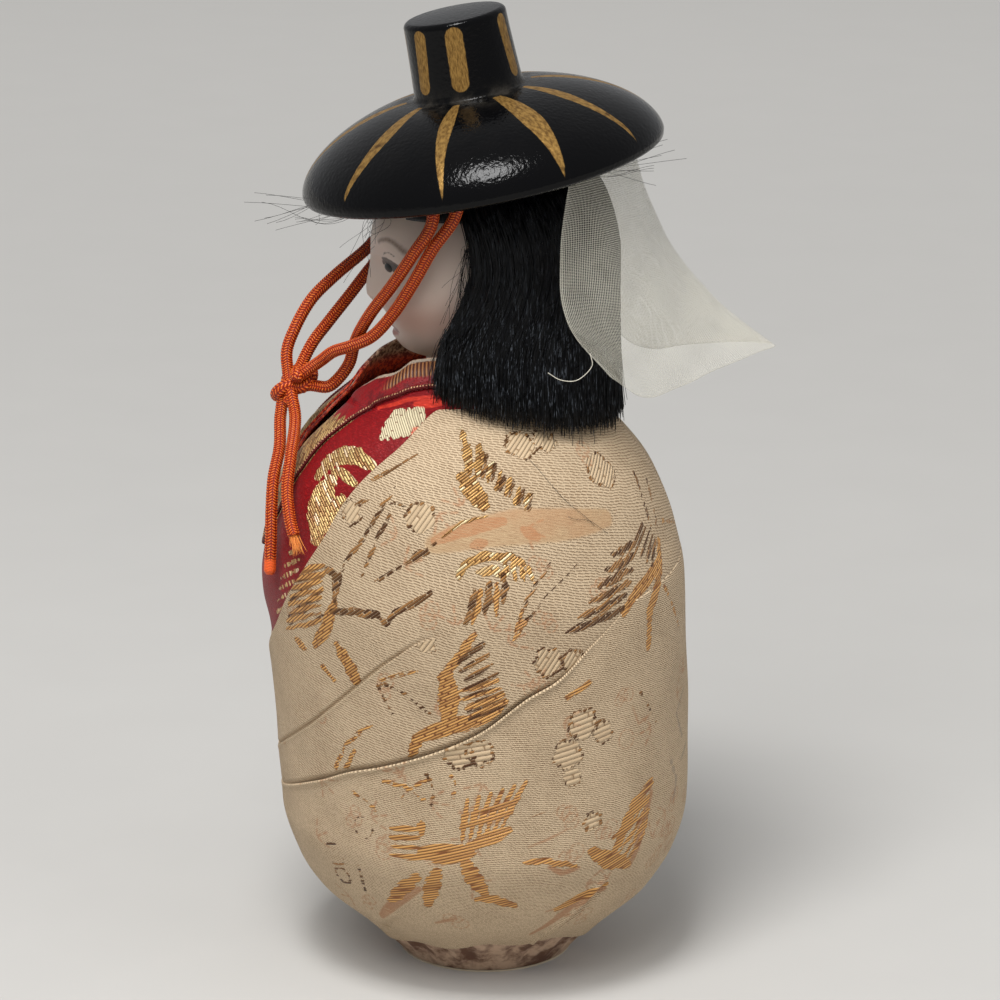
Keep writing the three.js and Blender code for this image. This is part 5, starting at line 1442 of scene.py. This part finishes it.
# lower wrap: from its folded upper edge down to the hem, with creases near the hem
def buildSkirt():
    material = brocadeMaterial("creamSkirt", creamCloth, skirt)
    angles = ringAngles(*skirt["columns"])
    fold = edge("skirtFold", angles)
    hem = skirt["hem"] + skirt["hemWave"] * np.sin(np.radians(3 * angles + 144))
    height = levelRows((fold, fold - 1.4, 12), (fold - 1.4, hem + 1.5, 138), (hem + 1.5, hem, 5))
    grid = np.broadcast_to(angles[None, :], height.shape)
    below = fold[None, :] - height
    shown = 1 - ease(np.abs(grid), 106, 128)  # the lip dies away towards the back
    offset = skirt["lip"] * shown * (0.2 + 0.8 * ease(np.abs(grid), 8, 40)) * np.exp(-((below / 0.6) ** 2))
    offset += unevenness(grid, height, skirt["puff"]) * ease(below, 0.5, 6)
    for line in skirt["creases"]:
        offset += crease(grid, height, *line)
    offset += 0.35 * np.sin(np.radians(grid * 11)) * np.exp(-(height - hem) / 2.5)
    figures = [*skirtFigures, *backFigures, *strewnFigures(*skirt["strewn"])]
    # the lip field paints a highlight along the wrap's folded top
    piece = clothPiece("skirtCloth", angles, height, offset, material, "cream_brocade",
                       lambda a, h: threadFields(a, h, figures), np.full(height.shape, skirt["turn"]),
                       skirt["weaveTurn"], True, {"lip": (1 - ease(below, 0.15, 0.5)) * 0.25 * shown})
    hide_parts("skirt_wrap")


outerRobe = {"dip": 0.6, "lip": 0.14, "foldRise": 4, "overlap": 4.5, "puff": 0.09, "weaveTurn": -12,
             "ground": (0.046, 0.13, -0.3, 0.37, 0.66), "floats": (0.046, 0.45),
             "petals": (0.075, 0.9, np.radians(64)), "upperTurn": 36, "bandTurn": 26, "tone": (203, 180, 149),
             "strewnHigh": (8, 18, 62, 100), "strewnLow": (9, 16, 42, 70)}


# outer robe, a left and a right half: dips under the upper fold and tucks in under the wrap
def buildOuterRobe():
    tones = {**creamCloth, "ground": outerRobe["tone"]}
    material = brocadeMaterial("creamRobe", tones, outerRobe)
    highFigures = [*upperFigures, *backFigures, *strewnFigures(*outerRobe["strewnHigh"])]
    lowFigures = [*bandFigures, *strewnFigures(*outerRobe["strewnLow"])]
    for name, node, angles, dense in (
        ("leftRobeCloth", "robe_left", np.linspace(0.4, 179.6, 400), 1.0),
        ("rightRobeCloth", "robe_right", np.linspace(-179.6, -0.4, 240), 0.6),
    ):
        count = lambda rows: max(3, int(rows * dense))
        top, wrap = edge("outerEdge", angles), edge("skirtFold", angles)
        tuck = np.minimum(edge("upperFold", angles), top - 2 * outerRobe["foldRise"])
        share = 1 - ease(np.abs(angles), 62, 84)
        height = levelRows(
            (top, tuck + 4, count(118)), (tuck + 4, tuck + 0.3, count(16)),
            (tuck + 0.3, tuck - 1.2, count(14)), (tuck - 1.2, wrap + 3.2, count(62)),
            (wrap + 3.2, wrap + 0.3, count(12)), (wrap + 0.3, wrap - outerRobe["overlap"], 8))
        grid = np.broadcast_to(angles[None, :], height.shape)
        above, over = height - tuck, height - wrap
        dip = np.where(above > 0, -outerRobe["dip"] * ease(-above, -1.0, -0.15) * ease(above, -0.02, 0.12), 0)
        roll = np.exp(-((np.maximum(-above, 0) / 0.75) ** 2)) * (above <= 0.06) * share
        offset = share * dip + outerRobe["lip"] * roll
        # the wrap lies flatter on the robe towards the front and the back
        tucked = (1 - 0.9 * ease(np.abs(grid), 100, 126)) * (0.3 + 0.7 * ease(np.abs(grid), 8, 40))
        offset -= tucked * outerRobe["dip"] * ease(-over, -1.3, -0.1) + 0.6 * ease(-over, 0, 1.2)
        offset += unevenness(grid, height, outerRobe["puff"]) * ease(over, 1, 6) * ease(top - height, 0, 3)
        upper = ease(above, -0.1, 0.1)
        # painted shadow just above the upper fold and above the wrap's edge
        shade = 0.6 * share * (above > 0.04) * (1 - ease(above, 0.1, 0.6))
        shade = shade + 0.35 * tucked * (1 - ease(over, 0.1, 0.6))
        floatTurn = outerRobe["bandTurn"] + (outerRobe["upperTurn"] - outerRobe["bandTurn"]) * upper

        # each side of the upper fold has its own figures, and past its end both run on
        def figures(angle, level, high=above > -0.05, plain=share < 0.02):
            sets = threadFields(angle, level, highFigures), threadFields(angle, level, lowFigures)
            return {key: np.where(plain, np.minimum(a, b), np.where(high, a, b))
                    for key, a, b in ((key, sets[0][key], sets[1][key]) for key in threads)}

        # the lip field paints a highlight along the folded edge
        piece = clothPiece(name, angles, height, offset, material, "cream_brocade", figures, floatTurn,
                           outerRobe["weaveTurn"], extra={"lip": 0.4 * ease(roll, 0.7, 0.95), "shade": shade})
        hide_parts(node)


red = {"overlap": 4.5, "roll": 0.5, "ground": (0.02, 0.3, 0.0, 0.37, 0.4), "floats": (0.062, 0.17),
       "petals": (0.045, 0.6, np.radians(106)), "floatTurn": 122, "puff": 0.05,
       "columns": (-5, 130, 330, 120)}


# red robe: rolls over at its upper edge and runs on under the outer robe
def buildRedRobe():
    material = brocadeMaterial("redBrocade", redCloth, red)
    angles = ringAngles(*red["columns"])
    top, low = edge("redEdge", angles), edge("outerEdge", angles) - red["overlap"]
    height = levelRows((top, low, 130))
    grid = np.broadcast_to(angles[None, :], height.shape)
    share = (top[None, :] - height) / (top - low)[None, :]
    roll = np.sin(np.pi * np.clip(share * 1.5, 0, 1)) * (1 - ease(share, 0.4, 0.66))
    offset = red["roll"] * roll - robe["layerStep"]
    offset += unevenness(grid, height, red["puff"]) * ease(top[None, :] - height, 0.3, 3)
    figures = lambda angle, level: threadFields(np.abs(grid), level, redFigures)
    piece = clothPiece("redCloth", angles, height, offset, material, "red_brocade", figures,
                       np.full(height.shape, red["floatTurn"]), roundColumns=True, mould=neckMould)
    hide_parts("robe_red")


# collar silk: fine ribs darker between them as painted shade, with pinstripes or gilt floats where the
# piece's own field says, the floats lighter on their crests as painted highlight, a pale folded edge and a
# speckled lining painted lighter than its cloth, standing in for light inside the collar
def collarMaterial(name, ground, groundShade, pale):
    paint = startMaterial(name)
    times, mix, step, field = paint.times, paint.mix, paint.step, paint.field
    weave, place = paint.uv("weave"), paint.place()
    stripe = paint.maths("SINE", times(paint.split(weave)[0], 2 * np.pi / 0.075))
    rib, rowTone = paint.threadRows(weave, 0.022, 0.25)[::2]
    thread, threadTone = paint.threadRows(paint.stretch(weave, (1, 1, 1), (0, 0, -1.2)), 0.06, 0.22)[:2]
    tint = paint.noise(place, 600.0, 4.0, 0.65)
    # painted shade: darker between the ribs, and in random patches
    look = mix(step(rib, 0, 0.8), groundShade, ground)
    look = mix(step(tint, 0.45, 0.7, 0, 0.8), look, groundShade)
    pinstripe = mix(step(stripe, -0.3, 0.6), (74, 32, 22), (158, 108, 66))
    look = mix(field("striped"), look, pinstripe)
    # painted highlights: gilt threads lighter on their crests
    glint = times(step(thread, 0.1, 0.9), step(threadTone, -0.5, 0.9))
    gilt = mix(glint, (92, 40, 24), (226, 190, 126))
    gilded = step(paint.plus(field("gilded"), times(rowTone, 0.3)), 0.45, 0.75)
    look = mix(gilded, look, gilt)
    look = mix(field("paleEdge"), look, pale)
    # painted light: the inner faces are painted pale to look lit where they lie in shade
    speck = step(paint.noise(place, 1300.0, 3.0, 0.7), 0.42, 0.6)
    brown = mix(speck, (104, 66, 52), (208, 174, 144))
    floats = mix(speck, (150, 14, 18), (236, 92, 52))
    lining = mix(step(paint.split(place)[2], 0.106, 0.1035), brown, floats)
    look = mix(field("back"), look, lining)
    height = paint.blend(gilded, paint.blend(field("striped"), rib, stripe), thread)
    return paint.finish(Base_Color=look, Roughness=0.4, Metallic=times(gilded, 0.5),
                        Normal=paint.bump(height, 0.5, 0.00012))


collarColumns, collarOverlap = (-5, 130, 300, 90), 6
collars = [  # piece, node, slot, edge, edge of the layer over it, layer, roll, silk, silk in shade, pale edge
    ("middleCollar", "collar_middle", "collar_silk", "middleEdge", "redEdge", 2, 0.7,
     (150, 16, 24), (90, 6, 14), (206, 178, 150)),
    ("innerCollar", "collar_inner", "collar_lining", "innerEdge", "middleEdge", 2.58, 0.0,
     (96, 74, 60), (50, 34, 28), (184, 170, 152)),
]


# two standing collars, each a layer deeper than the one before
def buildCollars():
    for name, node, slot, top, under, layer, roll, silk, shade, pale in collars:
        angles = ringAngles(*collarColumns)
        upper, low = edge(top, angles), edge(under, angles) - collarOverlap
        height = levelRows((upper, low, 70))
        share = np.clip((upper[None, :] - height) / (upper - low - collarOverlap)[None, :], 0, 1)
        offset = roll * np.sin(np.pi * share) - robe["layerStep"] * layer
        spread = np.abs(np.broadcast_to(angles[None, :], height.shape))
        below = neckMould.length(upper)[None, :] - neckMould.length(height)
        outerLayer = 1.0 if layer == 2 else 0.0
        breast = 1 - ease(height + 0.5 * np.sin(spread), 99.6, 101.4)
        extra = {
            "paleEdge": (1 - outerLayer) * (1 - ease(below, 0.5, 0.8)),
            "striped": outerLayer * ease(spread + 1.2 * (below - 2), 46, 54) * (1 - ease(below, 2.3, 2.8)),
            "gilded": outerLayer * breast * (1 - ease(spread, 40, 46)),
        }
        material = collarMaterial(name + "Silk", silk, shade, pale)
        piece = clothPiece(name, angles, height, offset, material, slot, noFigures, 0 * height,
                           roundColumns=True, extra=extra, mould=neckMould)
        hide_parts(node)


# the groove colour is painted shade between and behind the beads
edging = {"centre": np.array([0, -4, 60.0]), "radius": 0.4, "reach": 130, "bead": 0.52, "depth": 0.3,
          "sides": 12, "gold": (236, 190, 140), "groove": (92, 18, 20)}


# gold edging: a beaded cord along the top of the red robe, radius rising and falling along it; bright crests
# are painted highlight, the rest painted shade
def buildEdging():
    angles = np.linspace(-edging["reach"], edging["reach"], 131)
    height = edge("redEdge", angles)
    out = -2 * robe["layerStep"] + 0.75 + edging["radius"]
    at = robePoint(angles, height, out, neckMould)
    outward = unit(robePoint(angles, height, out + 1, neckMould) - at)
    upward = unit(np.cross(outward, unit(np.gradient(at, axis=0))))
    upward = upward * np.sign(upward[:, 2:3])
    path, length = evenPath(at + upward * (edging["radius"] + 0.2), 0.08)
    forward = unit(np.gradient(path, axis=0))
    side = unit(np.cross(forward, path - edging["centre"]))
    other = np.cross(forward, side)
    along = np.linspace(0, length, len(path))
    turn = fullTurn(edging["sides"])
    bead = np.abs(np.sin(np.pi * along[:, None] / edging["bead"] + turn[None, :] / 2)) ** 0.6
    radius = edging["radius"] * (1 - edging["depth"] * (1 - bead))
    ring = side[:, None] * np.cos(turn)[:, None] + other[:, None] * np.sin(turn)[:, None]
    # painted light: the bead field is kept only on the side that faces out from the body, where light falls
    crest = np.sum(ring * unit(path - edging["centre"])[:, None], -1)
    paint = startMaterial("goldEdging")
    worn = paint.noise(paint.place(), 900.0, 3.0)
    # painted highlight on the beads' outward crests, painted shade in the groove colour elsewhere
    shine = paint.times(paint.step(paint.field("bead"), 0.7, 0.98), paint.step(worn, 0.3, 0.55))
    tone = paint.mix(shine, edging["groove"], edging["gold"])
    material = paint.finish(Base_Color=tone, Roughness=0.34, Metallic=0.5)
    piece = gridMesh("beadedEdging", path[:, None] + radius[..., None] * ring, "doll_body", material,
                     roundColumns=True, slot="gold_edging", fields={"bead": bead * ease(crest, 0.2, 0.75)})
    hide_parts("collar_edging")


foot = {"top": 12.0, "pleats": 31, "pleatDepth": 0.22, "pale": (196, 166, 140), "dark": (108, 76, 58),
        "columns": 300, "rows": 40}


# foot skin: pinched and blotched cloth between the hem and the ground
def buildFoot():
    paint = startMaterial("mottledFoot")
    place = paint.place()
    blotch = paint.noise(place, 210.0, 4.0, 0.62)
    streak = paint.noise(paint.stretch(place, (420.0, 420.0, 90.0)), 1.0, 3.0, 0.6)
    tone = paint.mix(paint.step(blotch, 0.38, 0.6), foot["dark"], foot["pale"])
    tone = paint.mix(paint.step(streak, 0.5, 0.72, 0, 0.5), tone, (88, 58, 46))
    material = paint.finish(Base_Color=tone, Roughness=0.85, Normal=paint.bump(streak, 0.5, 0.0003))
    angles = np.linspace(-180, 180, foot["columns"], endpoint=False)
    height = levelRows((np.full(len(angles), foot["top"]), np.zeros(len(angles)), foot["rows"]))
    grid = np.radians(np.broadcast_to(angles[None, :], height.shape))
    pleat = np.sin(grid * foot["pleats"] + 2 * np.sin(grid * 3)) * ease(height, 0.2, 3)
    piece = clothPiece("footSkin", angles, height, foot["pleatDepth"] * pleat - robe["layerStep"], material,
                       "mottled_cloth", noFigures, 0 * height, roundColumns=True)
    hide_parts("foot_cover")


buildSkirt()
buildOuterRobe()
buildRedRobe()
buildCollars()
buildEdging()
buildFoot()


# Veil: sheer gauze hung from under the back of the hat
veil = {
    "tops": [(17.5, 16.5), (12.5, 21), (6.5, 24.2), (0, 25.2)],
    "drops": [[(20.6, 12.6, 131), (22.2, 13.8, 119.5), (20, 21, 109.6)],
              [(16.5, 22.4, 131.5), (18.6, 24, 118), (17, 27.6, 105)],
              [(9, 27.2, 131), (11.4, 32, 118), (11, 36.4, 107.4)],
              [(0, 30, 130.4), (0, 39.4, 117.8), (0, 50, 109.6)]],
    "folds": 4, "foldDepth": 1.1, "thickness": 0.12, "rows": 120, "columns": 190,
    "colour": (226, 222, 206), "thread": 0.31, "drop": 45, "widthRow": -40,  # row measured for the weave
    "flat": (0.064, 0.046),  # cut size in metres
    "looseThread": [(23.5, 10.6, 111.2), (23.5, 12.6, 110), (23.5, 15.1, 109.8), (23.3, 16.8, 110.8),
                    (23, 18, 112.4), (22.4, 17.6, 114.3)],
}


# veil surface: guide lines from the hat's underside to the hem, crossed by a smooth rail and rippled more and
# more downwards
def veilSurface(across, down):
    domeRadius, domeHeight = domeAt(np.linspace(1, 0, 200))
    ceiling = lambda x, y: np.interp(np.hypot(x, y) + 1.2, domeRadius, domeHeight) - 2.2 - 1.2
    guides = [np.array([hatPlace((x, y, ceiling(x, y))), *drops])
              for (x, y), drops in zip(veil["tops"], veil["drops"])]
    guides += [guide * np.array([-1, 1, 1]) for guide in guides[-2::-1]]
    rails = np.stack([throughPoints(guide, down) for guide in guides])
    surface = throughPoints(rails, across)
    forward = np.gradient(surface, axis=0)
    outward = unit(together(-forward[..., 1], forward[..., 0], 0))
    a, d = across[:, None], down[None, :]
    ripple = np.sin(2 * np.pi * veil["folds"] * a) * np.sin(np.pi * a) * veil["foldDepth"] * d
    crumple = 0.22 * np.sin(23 * a + 9 * d) * np.sin(14 * d + 6 * a) + 0.12 * np.sin(61 * a - 17 * d)
    return surface - outward * (ripple + crumple * np.minimum(1, 4 * d))[..., None]


# gauze: opaque on its warp and weft threads, clear between them
def gauzeMaterial():
    paint = startMaterial("ivoryGauze")
    u, v = paint.split(paint.uv("cloth"))[:2]
    turns = lambda value: paint.times(value, np.pi / veil["thread"])
    warp, weft = (paint.absolute(paint.maths("SINE", turns(value))) for value in (u, v))
    cover = paint.most(paint.step(warp, 0.955, 0.997), paint.step(weft, 0.962, 0.998))
    drift = paint.noise(paint.place(), 240.0, 3.0)
    cover = paint.times(cover, paint.step(drift, 0.1, 0.5, 0.62, 0.88))
    cover = paint.most(cover, paint.field("edge"))
    tone = paint.mix(weft, [c - 22 for c in veil["colour"]], veil["colour"])
    return paint.finish(Base_Color=tone, Roughness=0.65, Alpha=cover, Sheen_Weight=0.2,
                        Normal=paint.bump(paint.plus(warp, weft), 0.4, 0.00008))


# two faces of gauze round the veil surface, and a loose thread
def buildVeil():
    across, down = shares(veil["columns"]), shares(veil["rows"])
    surface = veilSurface(across, down)
    normal = unit(np.cross(np.gradient(surface, axis=0), np.gradient(surface, axis=1)))
    half = veil["thickness"] / 2
    loop = np.concatenate([surface + half * normal, (surface - half * normal)[:, ::-1]], 1)
    widths = lengthAlong(surface[:, veil["widthRow"]])
    drops = np.linspace(0, veil["drop"], veil["rows"])
    u = np.broadcast_to(widths[:, None], surface.shape[:2])
    v = np.broadcast_to(drops[None, :], surface.shape[:2])
    both = lambda values: np.concatenate([values, values[:, ::-1]], 1)
    side, hem = (1 - ease(away, 0.0, 0.012) for away in (np.minimum(across, 1 - across), 1 - down))
    edgeShare = np.maximum(side[:, None], hem[None, :])
    places = together(both(u), both(v))
    places = np.concatenate([places, places[:, :1]], 1)
    piece = gridMesh("gauzeVeil", loop, "veil_body", gauzeMaterial(), roundColumns=True, slot="gauze",
                     maps={"cloth": places}, fields={"edge": 0.25 * both(edgeShare)})
    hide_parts("veil")
    # one loose thread that curls from the near corner of the hem
    strand = startMaterial("looseGauzeThread")
    tint = strand.mix(strand.noise(strand.place(), 1500.0), (206, 200, 184), veil["colour"])
    curl = throughPoints(veil["looseThread"], shares(40))[None]
    strandMesh("looseThread", curl, np.full((1, 40), 0.08), "veil_body",
               strand.finish(Base_Color=tint, Roughness=0.7), "gauze")
    cells = np.linalg.norm(np.cross(np.gradient(surface, axis=0), np.gradient(surface, axis=1)), axis=-1)
    area = float(cells[:-1, :-1].sum()) * 1e-6
    wide, long = veil["flat"]
    print("veil area", round(area, 6), "flat", round(wide * long, 6))


buildVeil()


# Plain pieces inside and underneath keep their solids
def plainMaterial(name, dark, pale, scale, stretch, roughness):
    paint = startMaterial(name)
    grain = paint.noise(paint.stretch(paint.place(), stretch), scale, 4.0, 0.6)
    return paint.finish(Base_Color=paint.mix(grain, dark, pale), Roughness=roughness,
                        Normal=paint.bump(grain, 0.3, 0.0002))


inside = {
    "turnedWood": (("base_board", "neck_bush", "neck_peg"), (138, 100, 58), (186, 148, 98), 90.0, (1, 1, 9),
                   0.7),
    "basePaper": (("base_sheet",), (176, 160, 134), (206, 192, 168), 600.0, (1, 1, 1), 0.9),
    "mouldedPulp": (("body_core",), (176, 164, 140), (214, 204, 182), 240.0, (1, 1, 1), 0.9),
    "driedClay": (("ballast_weight",), (120, 106, 92), (152, 138, 122), 200.0, (1, 1, 1), 0.95),
    "feltPad": (("hat_pad",), (58, 22, 20), (86, 36, 32), 900.0, (1, 1, 1), 0.95),
}
for name, (nodes, *look) in inside.items():
    material = plainMaterial(name, *look)
    for node in nodes:
        for materialSlot in bpy.data.objects[node].material_slots:
            materialSlot.material = material

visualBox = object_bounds()
print("size", [round(b - a, 4) for a, b in zip(*visualBox)])
